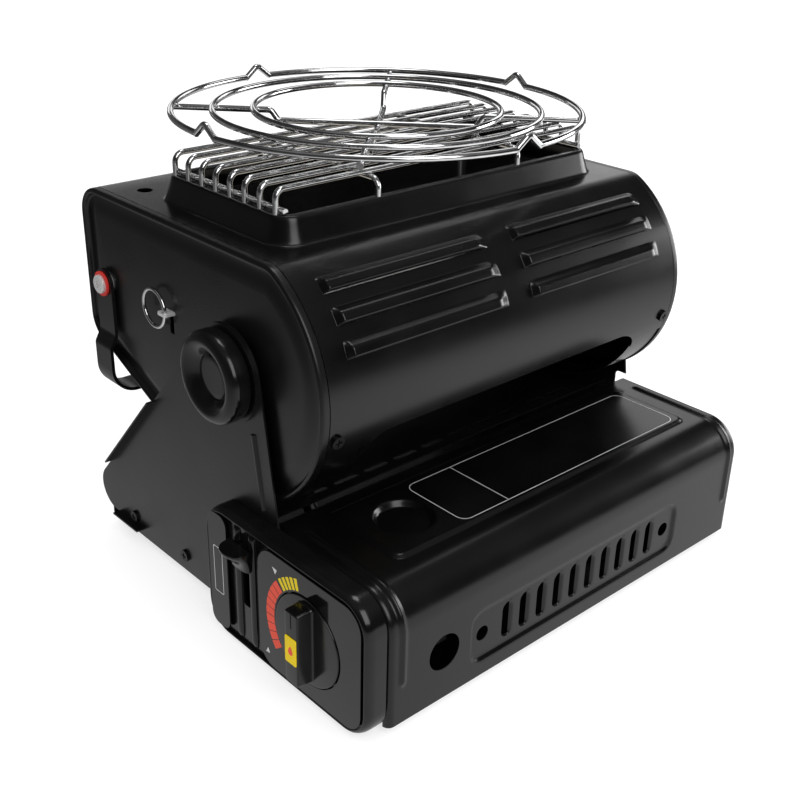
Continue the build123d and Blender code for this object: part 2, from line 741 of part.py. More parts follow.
def reflector_pan():
    """Bright sloped tray that hangs under the top sheet and carries the burner."""
    flange = opening_plan(COLLAR_RUN - COLLAR_DRAFT, OPENING_CORNER_R)
    tray = extrude(Pos(0, 0, TOP_UNDER_Z - REFLECTOR_SHEET) * flange, amount=REFLECTOR_SHEET)
    top = Pos(0, 0, TOP_UNDER_Z) * opening_plan(0, REFLECTOR_CORNER_R)
    bottom = Pos(0, 0, REFLECTOR_Z) * opening_plan(-REFLECTOR_DRAFT, REFLECTOR_CORNER_R)
    inner = opening_plan(-REFLECTOR_SHEET, REFLECTOR_CORNER_R)
    floor = opening_plan(-REFLECTOR_DRAFT - REFLECTOR_SHEET, REFLECTOR_CORNER_R)
    floor_z = REFLECTOR_Z + REFLECTOR_SHEET
    hollow = loft([Pos(0, 0, TOP_UNDER_Z) * inner, Pos(0, 0, floor_z) * floor], ruled=True)
    tray = tray + loft([top, bottom], ruled=True) - hollow
    tray = tray - extrude(Pos(0, 0, REFLECTOR_Z) * burner_plan(LAP_GAP), amount=REFLECTOR_SHEET)
    return tray - probe_bores(REFLECTOR_Z, REFLECTOR_SHEET)


def burner_plan(extra):
    """Burner plate in plan, larger by extra on each side."""
    return Pos(0, OPENING_Y) * Rectangle(2 * (BURNER_HALF + extra), BURNER_WIDTH + 2 * extra)


def probe_bores(z, depth):
    """Holes for the igniter and the flame sensor through a sheet."""
    holes = [Pos(x, OPENING_Y, z) * Circle(PROBE_R + LAP_GAP) for x in (-PROBE_X, PROBE_X)]
    return extrude(holes[0], amount=depth) + extrude(holes[1], amount=depth)


def burner_plate():
    """Ceramic plate with a grid of flame ports, standing a little above the reflector's floor."""
    plate = extrude(Pos(0, 0, BURNER_UNDER_Z) * burner_plan(0), amount=BURNER_PLATE_T)
    columns = int(2 * BURNER_HALF / PORT_PITCH)
    rows = int(BURNER_WIDTH / PORT_PITCH)
    grid = GridLocations(PORT_PITCH, PORT_PITCH, columns, rows)
    ports = Sketch() + [place * RegularPolygon(PORT_R, 6) for place in grid]
    return plate - extrude(Pos(0, OPENING_Y, BURNER_UNDER_Z) * ports, amount=BURNER_PLATE_T)


def burner_box():
    """Gas chamber under the burner plate: a deep tray with a flange against the reflector."""
    tray = extrude(Pos(0, 0, BOX_LOW_Z) * burner_plan(SHEET + LAP_GAP), amount=REFLECTOR_Z - BOX_LOW_Z)
    flange = Pos(0, 0, REFLECTOR_Z - SHEET) * burner_plan(PROBE_SET - PROBE_COLLAR_R / 2)
    tray = tray + extrude(flange, amount=SHEET)
    tray = tray - extrude(Pos(0, 0, BURNER_UNDER_Z) * burner_plan(LAP_GAP), amount=BURNER_PLATE_T)
    hollow = Pos(0, 0, BOX_LOW_Z + SHEET) * burner_plan(-BURNER_LEDGE)
    tray = tray - extrude(hollow, amount=BURNER_UNDER_Z - BOX_LOW_Z - SHEET)
    return tray - probe_bores(REFLECTOR_Z - SHEET, SHEET)


def probe(x):
    """Ceramic rod through the reflector's floor, with a collar and a bare metal tip."""
    floor_z = REFLECTOR_Z + REFLECTOR_SHEET
    foot = Pos(x, OPENING_Y, floor_z - PROBE_BELOW)
    body = extrude(foot * Circle(PROBE_R), amount=PROBE_BELOW + PROBE_ABOVE)
    collar = extrude(Pos(x, OPENING_Y, floor_z) * Circle(PROBE_COLLAR_R), amount=PROBE_COLLAR_T)
    tip = extrude(Pos(x, OPENING_Y, floor_z + PROBE_ABOVE) * Circle(PROBE_TIP_R), amount=PROBE_TIP)
    return body + collar + tip


def gas_pipe():
    """Fixed pipe from the regulator, up through the drum's cut-out to the pivot axis."""
    route = [
        (PIPE_X, REG_REAR_Y, PIPE_START_Z),
        (PIPE_X, PIVOT_Y, PIPE_START_Z),
        (PIPE_X, PIVOT_Y, PIVOT_Z),
        (PIPE_END_X, PIVOT_Y, PIVOT_Z),
    ]
    return wire(route, PIPE_R, PIPE_BEND_R)


def gas_jet():
    """Nozzle at the end of the inlet tube."""
    body = rod(JET_X, JET_X + JET_LENGTH, PIVOT_Y, PIVOT_Z, JET_R)
    return body - rod(JET_X, JET_X + JET_LENGTH, PIVOT_Y, PIVOT_Z, JET_HOLE_R)


def jet_bracket():
    """Plate under the gas chamber that holds the nozzle on the pivot axis."""
    half = JET_R + JET_BRACKET_T
    low = (PIVOT_Y - half, PIVOT_Z - half)
    high = (PIVOT_Y + JET_BRACKET_RUN, BOX_LOW_Z)
    plate = rounded_face(low, high, JET_BRACKET_T) - Pos(PIVOT_Y, PIVOT_Z) * Circle(JET_R)
    middle = JET_X + JET_LENGTH / 2
    return prism(plate, middle - JET_BRACKET_T / 2, middle + JET_BRACKET_T / 2)


def mixing_tube():
    """Flared tube that draws in air and leads the gas up into the burner chamber."""
    throat = MIXER_R - MIXER_WALL
    mouth_x = MIXER_X + MIXER_MOUTH
    flare = [
        (MIXER_X, MIXER_MOUTH_R - MIXER_WALL),
        (MIXER_X, MIXER_MOUTH_R),
        (mouth_x, MIXER_R),
        (MIXER_END_X - MIXER_R, MIXER_R),
        (MIXER_END_X - MIXER_R, throat),
        (mouth_x, throat),
    ]
    elbow = [
        (MIXER_END_X - MIXER_R, PIVOT_Y, PIVOT_Z),
        (MIXER_END_X + MIXER_BEND_R, PIVOT_Y, PIVOT_Z),
        (MIXER_END_X + MIXER_BEND_R, OPENING_Y, PIVOT_Z),
        (MIXER_END_X + MIXER_BEND_R, OPENING_Y, BOX_LOW_Z),
    ]
    return turned(polygon(flare), PIVOT_Y, PIVOT_Z) + wire(elbow, MIXER_R, MIXER_BEND_R)


def guard_bar_places():
    """Middle lines of the guard's long bars."""
    first = OPENING_Y - GUARD_PITCH * (GUARD_BARS - 1) / 2
    return [first + i * GUARD_PITCH for i in range(GUARD_BARS)]


def guard_bars():
    """Long bars over the opening, bent down at both ends to stand on the collar."""
    bars = []
    for y in guard_bar_places():
        near = [(-GUARD_X, y, COLLAR_TOP_Z), (-GUARD_X, y, GUARD_Z)]
        far = [(GUARD_X, y, GUARD_Z), (GUARD_X, y, COLLAR_TOP_Z)]
        bars.append(wire(near + far, GUARD_WIRE_R, GUARD_BEND_R))
    return Compound(bars)


def guard_braces():
    """Two rails along the bars' feet and two bent wires across under the bars."""
    places = guard_bar_places()
    length = places[-1] - places[0] + 2 * GUARD_RAIL_OVER
    rail_x = GUARD_X - 2 * GUARD_WIRE_R - WIRE_GAP
    rail_z = COLLAR_TOP_Z + GUARD_WIRE_R + WIRE_GAP
    front = OPENING_Y - GUARD_LEG_Y
    rear = OPENING_Y + GUARD_LEG_Y
    braces = []
    for side in (-1, 1):
        start = Plane(origin=(side * rail_x, places[0] - GUARD_RAIL_OVER, rail_z), z_dir=(0, 1, 0))
        braces.append(extrude(start * Circle(GUARD_WIRE_R), amount=length))
        x = side * GUARD_CROSS_X
        near = [(x, front, COLLAR_TOP_Z), (x, front, CROSS_Z)]
        far = [(x, rear, CROSS_Z), (x, rear, COLLAR_TOP_Z)]
        braces.append(wire(near + far, GUARD_WIRE_R, GUARD_BEND_R))
    return Compound(braces)


def trivet_point(radius, angle, z):
    """Point about the trivet's middle."""
    turn = math.radians(angle)
    return (radius * math.cos(turn), TRIVET_Y + radius * math.sin(turn), z)


def kinked_ring(radius):
    """Wire ring with a raised kink on each side of the pan."""
    step = 360 / TRIVET_KINKS
    gap = math.degrees(math.asin(TRIVET_KINK_HALF / radius))
    mitre = TRIVET_WIRE_R * math.tan(math.atan2(TRIVET_KINK, TRIVET_KINK_HALF) / 2)
    over = math.degrees(mitre / radius)
    pieces = []
    for i in range(TRIVET_KINKS):
        angle = i * step
        ends = (angle + gap - over, angle + step - gap + over)
        spots = [trivet_point(radius, a, TRIVET_RING_Z) for a in (ends[0], angle + step / 2, ends[1])]
        arc = ThreePointArc(*spots)
        pieces.append(sweep(Plane(origin=arc @ 0, z_dir=arc % 0) * Circle(TRIVET_WIRE_R), path=arc))
        kink = [
            trivet_point(radius, angle - gap - over, TRIVET_RING_Z - mitre),
            trivet_point(radius, angle, TRIVET_RING_Z + TRIVET_KINK),
            trivet_point(radius, angle + gap + over, TRIVET_RING_Z - mitre),
        ]
        pieces.append(wire(kink, TRIVET_WIRE_R, TRIVET_KINK_R))
    return pieces


def pot_trivet():
    """Kinked outer ring and two plain rings on stepped cross wires, which stand on the guard's bars."""
    pieces = kinked_ring(TRIVET_R)
    for i in range(1, TRIVET_RINGS):
        plain = Torus(TRIVET_R - i * TRIVET_RING_PITCH, TRIVET_WIRE_R)
        pieces.append(Pos(0, TRIVET_Y, TRIVET_RING_Z) * plain)
    reach = TRIVET_R + TRIVET_OVERHANG
    for i, angle in enumerate((TRIVET_SPOKE_ANGLE, 180 - TRIVET_SPOKE_ANGLE)):
        low = TRIVET_LOW_Z + i * (2 * TRIVET_WIRE_R - WELD)
        spots = [
            trivet_point(reach, angle, TRIVET_SPOKE_Z),
            trivet_point(TRIVET_STEP_R, angle, TRIVET_SPOKE_Z),
            trivet_point(TRIVET_STEP_R - TRIVET_BEND_R, angle, low),
            trivet_point(TRIVET_STEP_R - TRIVET_BEND_R, angle + 180, low),
            trivet_point(TRIVET_STEP_R, angle + 180, TRIVET_SPOKE_Z),
            trivet_point(reach, angle + 180, TRIVET_SPOKE_Z),
        ]
        pieces.append(wire(spots, TRIVET_WIRE_R, TRIVET_KINK_R))
    return fused(pieces)


def pivot_stud():
    """Stud with a broad head inside the drum end, on which the bracket and the knob sit."""
    head = rod(FIELD_BACK_X - STUD_HEAD_T, FIELD_BACK_X, PIVOT_Y, PIVOT_Z, STUD_HEAD_R)
    return head + rod(FIELD_BACK_X, STUD_END_X, PIVOT_Y, PIVOT_Z, STUD_R)


def clamp_knob():
    """Mushroom knob with a dished face, blind on the stud."""
    bore = STUD_R + RUN_FIT
    flare_x = KNOB_X + KNOB_NECK
    profile = polygon([
        (KNOB_X, bore),
        (KNOB_X, KNOB_NECK_R),
        (flare_x, KNOB_NECK_R),
        (flare_x + KNOB_FLARE, KNOB_R),
        (KNOB_END_X, KNOB_R),
        (KNOB_END_X, KNOB_DISH_R),
        (KNOB_END_X - KNOB_DISH, KNOB_DISH_FLOOR_R),
        (KNOB_END_X - KNOB_DISH, 0),
        (STUD_END_X + STUD_TIP_GAP, 0),
        (STUD_END_X + STUD_TIP_GAP, bore),
    ])
    rim = [v for v in profile.vertices() if v.X > KNOB_END_X - RUN_FIT and v.Y > KNOB_R - RUN_FIT]
    return turned(fillet(rim, KNOB_ROUND_R), PIVOT_Y, PIVOT_Z)


def tangent_from(point, side):
    """Where a line from a point touches the bracket's rounded apex."""
    run = point[0] - PIVOT_Y
    drop = point[1] - PIVOT_Z
    turn = math.atan2(drop, run) + side * math.acos(BRACKET_APEX_R / math.hypot(run, drop))
    return (PIVOT_Y + BRACKET_APEX_R * math.cos(turn), PIVOT_Z + BRACKET_APEX_R * math.sin(turn))


def along(start, end, distance, inward=0.0):
    """Point on the line from start to end, moved to the left of it by inward."""
    run = Vector(*end) - Vector(*start)
    step = run.normalized()
    spot = Vector(*start) + step * distance + Vector(-step.Y, step.X) * inward
    return (spot.X, spot.Y)


def bracket_plan():
    """Side plate: a broad foot that narrows to a round apex about the pivot."""
    heel = (BRACKET_HEEL_Y, BRACKET_BOTTOM_Z)
    toe = (BRACKET_TOE_Y, BRACKET_BOTTOM_Z)
    rear = tangent_from(heel, 1)
    front = tangent_from(toe, -1)
    crown = (PIVOT_Y, PIVOT_Z + BRACKET_APEX_R)
    sides = [Line(toe, heel), Line(heel, rear), Line(front, toe)]
    face = make_face(sides + [ThreePointArc(rear, crown, front)])
    return fillet(face.vertices().sort_by(Axis.X)[-1], BRACKET_HEEL_R)


def bracket_trim():
    """Stiffening flanges along the rear edge and the foot, and the bead beside the front edge."""
    heel = (BRACKET_HEEL_Y, BRACKET_BOTTOM_Z)
    toe = (BRACKET_TOE_Y, BRACKET_BOTTOM_Z)
    rear = tangent_from(heel, 1)
    front = tangent_from(toe, -1)
    rear_stop = REAR_FLANGE_START + REAR_FLANGE_LENGTH
    strip = polygon([
        along(rear, heel, REAR_FLANGE_START),
        along(rear, heel, rear_stop),
        along(rear, heel, rear_stop, -BRACKET_T),
        along(rear, heel, REAR_FLANGE_START, -BRACKET_T),
    ])
    foot_y = BRACKET_HEEL_Y - FOOT_FLANGE_START
    foot = block(
        (BRACKET_IN_X, BRACKET_X + BRACKET_FLANGE),
        (foot_y - FOOT_FLANGE_LENGTH, foot_y),
        (BRACKET_BOTTOM_Z, BRACKET_BOTTOM_Z + BRACKET_T),
    )
    start = along(front, toe, BRACKET_BEAD_START, BRACKET_BEAD_SET)
    stop = along(front, toe, BRACKET_BEAD_START + BRACKET_BEAD_LENGTH, BRACKET_BEAD_SET)
    bead_x = BRACKET_X - BRACKET_BEAD_SINK
    run = Vector(0, stop[0] - start[0], stop[1] - start[1])
    bead = extrude(Plane(origin=(bead_x, *start), z_dir=run) * Circle(BRACKET_BEAD_R), amount=run.length)
    bead = bead - block((0, BRACKET_IN_X), (BRACKET_TOE_Y, PIVOT_Y), (0, PIVOT_Z))
    return prism(strip, BRACKET_IN_X, BRACKET_X + BRACKET_FLANGE) + foot + bead


def bracket_bores():
    """Holes for the pivot bush and the foot screws."""
    bores = rod(BRACKET_IN_X, BRACKET_X, PIVOT_Y, PIVOT_Z, STUD_R + LAP_GAP)
    for y in bracket_screw_places():
        bores = bores + rod(BRACKET_IN_X - PAN_T, BRACKET_X, y, bracket_screw_z(), SCREW_R + LAP_GAP)
    return bores


def bracket_screw_places():
    """Positions of the foot screws along the bracket."""
    half = (BRACKET_SCREWS - 1) / 2
    return [BRACKET_SCREW_Y + (i - half) * BRACKET_SCREW_PITCH for i in range(BRACKET_SCREWS)]


def bracket_screw_z():
    """Height of the foot screws."""
    return PAN_Z + BRACKET_SCREW_RISE


def right_bracket():
    """Right side plate, cut away in front for the lid, with an ear for the lid's pin."""
    plan = bracket_plan() - rounded_face((2 * BRACKET_TOE_Y, 0), (NOTCH_Y, NOTCH_Z), EAR_R)
    low = (LID_AXIS_Y - EAR_R, LID_AXIS_Z - EAR_DROP)
    plan = plan + rounded_face(low, (NOTCH_Y + EAR_DROP, LID_AXIS_Z - EAR_ROOM), EAR_R / 2)
    plan = plan + Pos(LID_AXIS_Y, LID_AXIS_Z) * Circle(EAR_R)
    plan = plan - Pos(LID_AXIS_Y, LID_AXIS_Z) * Circle(LID_PIN_R + RUN_FIT)
    return prism(plan, BRACKET_IN_X, BRACKET_X) + bracket_trim() - bracket_bores()


def bezel_face(inset):
    """Outline of the control end, smaller by an inset."""
    low = (BEZEL_FRONT_Y + inset, BEZEL_LOW_Z + inset)
    return rounded_face(low, (BEZEL_REAR_Y - inset, BEZEL_HIGH_Z - inset), BEZEL_R - inset)


def lever_slot(room):
    """Upright slot that the lever's stem travels in."""
    half = LEVER_STEM / 2 + room
    low = LEVER_Z - LEVER_TRAVEL - LEVER_STEM_H / 2 - room
    high = LEVER_Z + LEVER_STEM_H / 2 + room
    return Pos(LEVER_Y, (low + high) / 2) * Rectangle(2 * half, high - low)


def left_bracket():
    """Left side plate, carried forward behind the bezel to hold the controls."""
    plan = bracket_plan() + bezel_face(BEZEL_BACK_SET)
    plan = plan - lever_slot(LEVER_ROOM)
    plan = plan - Pos(VALVE_Y, VALVE_Z) * Circle(SPINDLE_R + SPINDLE_ROOM)
    plan = plan - Pos(LID_AXIS_Y, LID_AXIS_Z) * Circle(LID_PIN_R + RUN_FIT)
    return mirrored(prism(plan, BRACKET_IN_X, BRACKET_X) + bracket_trim() - bracket_bores())


def pivot_bush():
    """Sleeve in the bracket that the drum's stud turns in."""
    return tube(FIELD_X + SIDE_GAP, BRACKET_IN_X, PIVOT_Y, PIVOT_Z, BUSH_R, STUD_R + RUN_FIT)


def bracket_boss():
    """Round friction plate on the bracket's outside, under the knob."""
    return tube(BRACKET_X, BOSS_X, PIVOT_Y, PIVOT_Z, BOSS_R, STUD_R + RUN_FIT)


def base_pan():
    """Floor tray that ties the brackets together and carries the cartridge's fittings."""
    z = (PAN_Z, PAN_TOP_Z)
    half = BRACKET_IN_X
    pan = block((-half, half), (PAN_FRONT_Y, PAN_REAR_Y), z)
    pan = pan + block((half, half + PAN_FRONT_OVER), (PAN_FRONT_Y, LID_REAR_Y), z)
    rise = (PAN_Z, PAN_Z + PAN_FLANGE)
    pan = pan + block((half - PAN_T, half), (NOTCH_Y, PAN_FLANGE_REAR_Y), rise)
    pan = pan + block((-half, -half + PAN_T), (PAN_FRONT_Y, PAN_FLANGE_REAR_Y), rise)
    lip = (PAN_Z, PAN_Z + PAN_LIP)
    pan = pan + block((-half, half), (PAN_REAR_Y - PAN_T, PAN_REAR_Y), lip)
    pan = pan + block((-half, half + PAN_FRONT_OVER), (PAN_FRONT_Y, PAN_FRONT_Y + PAN_T), lip)
    for y in bracket_screw_places():
        pan = pan - rod(-half, half, y, bracket_screw_z(), SCREW_R + LAP_GAP)
    return pan


def foot_places():
    """Middles of the four feet."""
    x = BRACKET_IN_X - FOOT_SET
    return [(s * x, y) for s in (-1, 1) for y in (PAN_FRONT_Y + FOOT_FRONT_SET, PAN_REAR_Y - FOOT_REAR_SET)]


def rubber_feet():
    """Four tapered feet under the pan."""
    feet = []
    for x, y in foot_places():
        top = Pos(x, y, PAN_Z) * Circle(FOOT_R)
        feet.append(loft([Pos(x, y, 0) * Circle(FOOT_TIP_R), top], ruled=True))
    return Compound(feet)


def bracket_screws():
    """Screws through the brackets' feet into the pan's flanges."""
    screws = []
    for y in bracket_screw_places():
        spot = (BRACKET_X, y, bracket_screw_z())
        right = screw(Plane(origin=spot, x_dir=(0, 1, 0), z_dir=(1, 0, 0)))
        screws.extend([right, mirrored(right)])
    return Compound(screws)


def lid_pins():
    """Two pins in the brackets that the lid turns on."""
    right = rod(BRACKET_IN_X, LID_RIGHT_X, LID_AXIS_Y, LID_AXIS_Z, LID_PIN_R)
    right = right + rod(BRACKET_IN_X - LID_PIN_HEAD_T, BRACKET_IN_X, LID_AXIS_Y, LID_AXIS_Z, LID_PIN_HEAD_R)
    left = rod(-BRACKET_X, LID_LEFT_X + SHEET, LID_AXIS_Y, LID_AXIS_Z, LID_PIN_R)
    left = left + rod(-BRACKET_X - LID_PIN_HEAD_T, -BRACKET_X, LID_AXIS_Y, LID_AXIS_Z, LID_PIN_HEAD_R)
    return Compound([right, left])


def compartment_wall():
    """Upright sheet behind the cartridge, with a foot on the pan and a strip under the lid's edge."""
    half = BRACKET_IN_X - WALL_SET
    front = WALL_Y - SHEET
    wall = block((-half, half), (front, WALL_Y), (PAN_TOP_Z, STRIP_Z))
    wall = wall + block((-half, half), (front, WALL_Y + WALL_FOOT), (PAN_TOP_Z, PAN_TOP_Z + SHEET))
    strip = (LID_REAR_Y - STRIP_FRONT_SET, WALL_Y)
    wall = wall + block((-half, half), strip, (STRIP_Z - SHEET, STRIP_Z))
    way = Plane(origin=(PIPE_X, WALL_Y, PIPE_START_Z), z_dir=(0, -1, 0))
    return wall - extrude(way * Circle(PIPE_R + PIPE_ROOM), amount=SHEET)


def heat_shield():
    """Slotted sheet between the brackets, which keeps the drum's heat off the cartridge."""
    y = (WALL_Y + SHIELD_FRONT_GAP, SHIELD_REAR_Y)
    sheet = block((-BRACKET_IN_X, BRACKET_IN_X), y, (SHIELD_Z - SHEET, SHIELD_Z))
    for side in (-1, 1):
        edge = sorted((side * BRACKET_IN_X, side * (BRACKET_IN_X - SHEET)))
        sheet = sheet + block(edge, (y[0] + SHIELD_FLANGE_SET, y[1]), (SHIELD_Z - SHIELD_FLANGE, SHIELD_Z))
    row = GridLocations(SHIELD_SLOT_PITCH, 0, SHIELD_SLOTS, 1)
    slots = Sketch() + [place * SlotOverall(SHIELD_SLOT_LENGTH, SHIELD_SLOT_WIDTH) for place in row]
    sheet = sheet - extrude(Pos(0, y[0] + SHIELD_SLOT_SET, SHIELD_Z - SHEET) * slots, amount=SHEET)
    way = Pos(PIPE_X, PIVOT_Y, SHIELD_Z - SHEET) * Circle(PIPE_R + PIPE_ROOM)
    return sheet - extrude(way, amount=SHEET)


def lid_face(inset):
    """Section of the lid: an upright front and a flat top with one large round corner."""
    front = LID_FRONT_Y + inset
    top = LID_TOP_Z - inset
    face = polygon([(front, LID_BOTTOM_Z), (front, top), (LID_REAR_Y, top), (LID_REAR_Y, LID_BOTTOM_Z)])
    corner = face.vertices().sort_by_distance((front, top))[0]
    return fillet(corner, LID_CORNER_R - inset)


def lid_bead(x, radius):
    """Rounded bead that wraps over the lid's front corner."""
    depth = BEAD_R - BEAD_PROUD
    front = LID_FRONT_Y + depth
    top = LID_TOP_Z - depth
    path = [(x, LID_REAR_Y - BEAD_REAR_SET, top), (x, front, top), (x, front, BEAD_LOW_Z)]
    return wire(path, radius, LID_CORNER_R - depth)


def vent_slot_places():
    """Left edges of the lanced slots in the lid's front."""
    return [VENT_LEFT_X + VENT_SLOT_SET + i * VENT_SLOT_PITCH for i in range(VENT_SLOTS)]


def vent_slot(x):
    """Opening of one lanced slot, with round ends."""
    place = Pos(x + VENT_SLOT_WIDTH / 2, (VENT_LOW_Z + VENT_HIGH_Z) / 2)
    plan = place * SlotOverall(VENT_SLOT_HEIGHT, VENT_SLOT_WIDTH, rotation=90)
    return extrude(xz(LID_FRONT_Y + PRESS + SHEET) * plan, amount=SHEET)


def vent_flank(x):
    """Strip of sheet that is turned in along the right side of one slot."""
    floor = LID_FRONT_Y + PRESS
    edge = x + VENT_SLOT_WIDTH
    tip = edge - VENT_FLANK_RUN
    height = VENT_SLOT_HEIGHT - VENT_SLOT_WIDTH
    strip = [
        (edge + SHEET, floor),
        (edge + SHEET, floor + SHEET),
        (tip, floor + VENT_FLANK_DEPTH + SHEET),
        (tip, floor + VENT_FLANK_DEPTH),
    ]
    foot = Pos(0, 0, (VENT_LOW_Z + VENT_HIGH_Z - height) / 2)
    return extrude(foot * polygon(strip), amount=height)


def dish_cone(low, high):
    """Shallow cone of the round dish in the lid's panel."""
    middle = Pos(PANEL_X[0] + DISH_SET, (PANEL_Y[0] + PANEL_Y[1]) / 2)
    foot = Pos(0, 0, low) * middle * Circle(DISH_R - DISH_SLOPE)
    return loft([foot, Pos(0, 0, high) * middle * Circle(DISH_R)])


def cartridge_lid():
    """Hinged cover of the gas compartment, pressed from one sheet, with its right end closed."""
    space = prism(lid_face(SHEET), LID_LEFT_X, LID_RIGHT_X - SHEET)
    lid = prism(lid_face(0), LID_LEFT_X, LID_RIGHT_X)
    for x in (LID_LEFT_X + BEAD_SET, LID_RIGHT_X - BEAD_SET):
        lid = lid + lid_bead(x, BEAD_R)
    lid = lid - space
    for x in (LID_LEFT_X + BEAD_SET, LID_RIGHT_X - BEAD_SET):
        lid = lid - lid_bead(x, BEAD_R - SHEET)
    under = LID_TOP_Z - SHEET
    lid = lid + slab(PANEL_X, PANEL_Y, (under - PRESS, under), PANEL_R)
    margin = (PANEL_X[0] + SHEET, PANEL_X[1] - SHEET)
    depth = (PANEL_Y[0] + SHEET, PANEL_Y[1] - SHEET)
    lid = lid - slab(margin, depth, (LID_TOP_Z - PRESS, LID_TOP_Z), PANEL_R - SHEET)
    low = LID_TOP_Z - PRESS - DISH_DEPTH
    lid = lid + dish_cone(low - SHEET, under - PRESS) - dish_cone(low, LID_TOP_Z - PRESS)
    low = (VENT_LEFT_X, VENT_LOW_Z)
    high = (VENT_RIGHT_X, VENT_HIGH_Z)
    pad = rounded_face(low, high, VENT_R)
    lid = lid + extrude(xz(LID_FRONT_Y + SHEET + PRESS) * pad, amount=PRESS)
    recess = offset(pad, amount=-SHEET)
    lid = lid - extrude(xz(LID_FRONT_Y + PRESS) * recess, amount=PRESS)
    for x in vent_slot_places():
        lid = lid - vent_slot(x)
        lid = lid + vent_flank(x)
    middle_z = (VENT_LOW_Z + VENT_HIGH_Z) / 2
    ends = (low[0] + VENT_HOLE_SET, high[0] - VENT_HOLE_SET)
    holes = [Pos(x, middle_z) * Circle(VENT_HOLE_R) for x in ends]
    holes.append(Pos(LID_LEFT_X + SIGHT_HOLE_SET, SIGHT_HOLE_Z) * Circle(SIGHT_HOLE_R))
    lid = lid - extrude(xz(LID_FRONT_Y + SHEET + PRESS) * (Sketch() + holes), amount=SHEET + PRESS)
    ear_low = (LID_AXIS_Y - LID_EAR_R, LID_AXIS_Z - LID_EAR_R)
    ear = rounded_face(ear_low, (LID_REAR_Y, LID_TOP_Z - SHEET / 2), SHEET)
    lid = lid + prism(ear, LID_LEFT_X, LID_LEFT_X + SHEET)
    return lid - rod(LID_LEFT_X, LID_RIGHT_X, LID_AXIS_Y, LID_AXIS_Z, LID_PIN_R + RUN_FIT)


def plate_face(inset):
    """Outline of the control plate on the bezel."""
    low = (BEZEL_FRONT_Y + PLATE_SET + inset, BEZEL_LOW_Z + PLATE_SET + inset)
    high = (CHANNEL_FRONT_Y - CHANNEL_GAP - inset, BEZEL_HIGH_Z - PLATE_SET - inset)
    return rounded_face(low, high, PLATE_R - inset)


def strip_face(inset):
    """Outline of the plain strip on the bezel's rear edge."""
    low = (STRIP_REAR_Y - STRIP_LENGTH + inset, BEZEL_LOW_Z + PLATE_SET + inset)
    return rounded_face(low, (STRIP_REAR_Y - inset, BEZEL_HIGH_Z - PLATE_SET - inset), PLATE_R / 2 - inset)


def control_bezel():
    """Moulded cover of the control end, with seats for its plates and a ridged channel for the lever."""
    shell = prism(bezel_face(0), BEZEL_X, -BRACKET_X)
    rim = shell.faces().sort_by(Axis.X)[0].edges()
    shell = fillet(rim, BEZEL_EDGE_R)
    shell = shell - prism(bezel_face(BEZEL_WALL), BEZEL_FACE_IN_X, -BRACKET_X)
    shell = shell - prism(plate_face(-LAP_GAP) + strip_face(-LAP_GAP), BEZEL_X, BEZEL_X + PLATE_SINK)
    low = BEZEL_LOW_Z + PLATE_SET
    high = BEZEL_HIGH_Z - PLATE_SET
    channel = rounded_face((CHANNEL_FRONT_Y, low), (CHANNEL_REAR_Y, high), PLATE_R / 4)
    shell = shell - prism(channel, BEZEL_X, BEZEL_X + CHANNEL_DEPTH)
    depth = (BEZEL_X + SHEET / 2, BEZEL_FACE_IN_X)
    for side in (-1, 1):
        y = LEVER_Y + side * CHANNEL_RIDGE_SET
        ridge = (y - CHANNEL_RIDGE_W / 2, y + CHANNEL_RIDGE_W / 2)
        shell = shell + block(depth, ridge, (low, high))
    shell = shell - prism(lever_slot(LEVER_ROOM), BEZEL_X, BEZEL_FACE_IN_X)
    return shell - rod(BEZEL_X, BEZEL_FACE_IN_X, VALVE_Y, VALVE_Z, SPINDLE_R + SPINDLE_ROOM)


def control_plate():
    """Plate with a round opening that the valve knob's disc lies in."""
    face = plate_face(0) - Pos(VALVE_Y, VALVE_Z) * Circle(VALVE_DISC_R + VALVE_DISC_ROOM)
    return prism(face, PLATE_FACE_X, BEZEL_X + PLATE_SINK)


def side_strip():
    """Plain plate beside the lever's channel."""
    return prism(strip_face(0), PLATE_FACE_X, BEZEL_X + PLATE_SINK)


def gas_lever():
    """Lever that slides down to lock the cartridge: finger tab, stem, guide plate and inner arm."""
    half = LEVER_STEM / 2
    low = LEVER_Z - LEVER_STEM_H / 2
    z = (low, low + LEVER_STEM_H)
    root_x = BEZEL_X - SIDE_GAP
    tab = polygon([
        (root_x, LEVER_Z - LEVER_TAB_ROOT / 2),
        (root_x, LEVER_Z + LEVER_TAB_ROOT / 2),
        (LEVER_TIP_X, LEVER_Z + LEVER_TAB_ROOT / 2),
        (LEVER_TIP_X, LEVER_Z + LEVER_TAB_ROOT / 2 - LEVER_TAB_TIP),
    ])
    tab = fillet([v for v in tab.vertices() if v.X < root_x - SHEET], SHEET)
    lever = extrude(xz(LEVER_Y + LEVER_TAB_WIDTH / 2) * tab, amount=LEVER_TAB_WIDTH)
    arm_x = -BRACKET_IN_X + SHEET
    lever = lever + block((root_x, arm_x + LEVER_ARM_T), (LEVER_Y - half, LEVER_Y + half), z)
    lever = lever + block((arm_x, arm_x + LEVER_ARM_T), (LEVER_Y - LEVER_ARM_RUN, LEVER_Y), z)
    guide_x = BEZEL_FACE_IN_X + SIDE_GAP
    reach = half + LEVER_GUIDE
    guide_z = (LEVER_Z - LEVER_STEM_H, LEVER_Z + LEVER_STEM_H)
    return lever + block((guide_x, guide_x + LEVER_GUIDE_T), (LEVER_Y - reach, LEVER_Y + reach), guide_z)


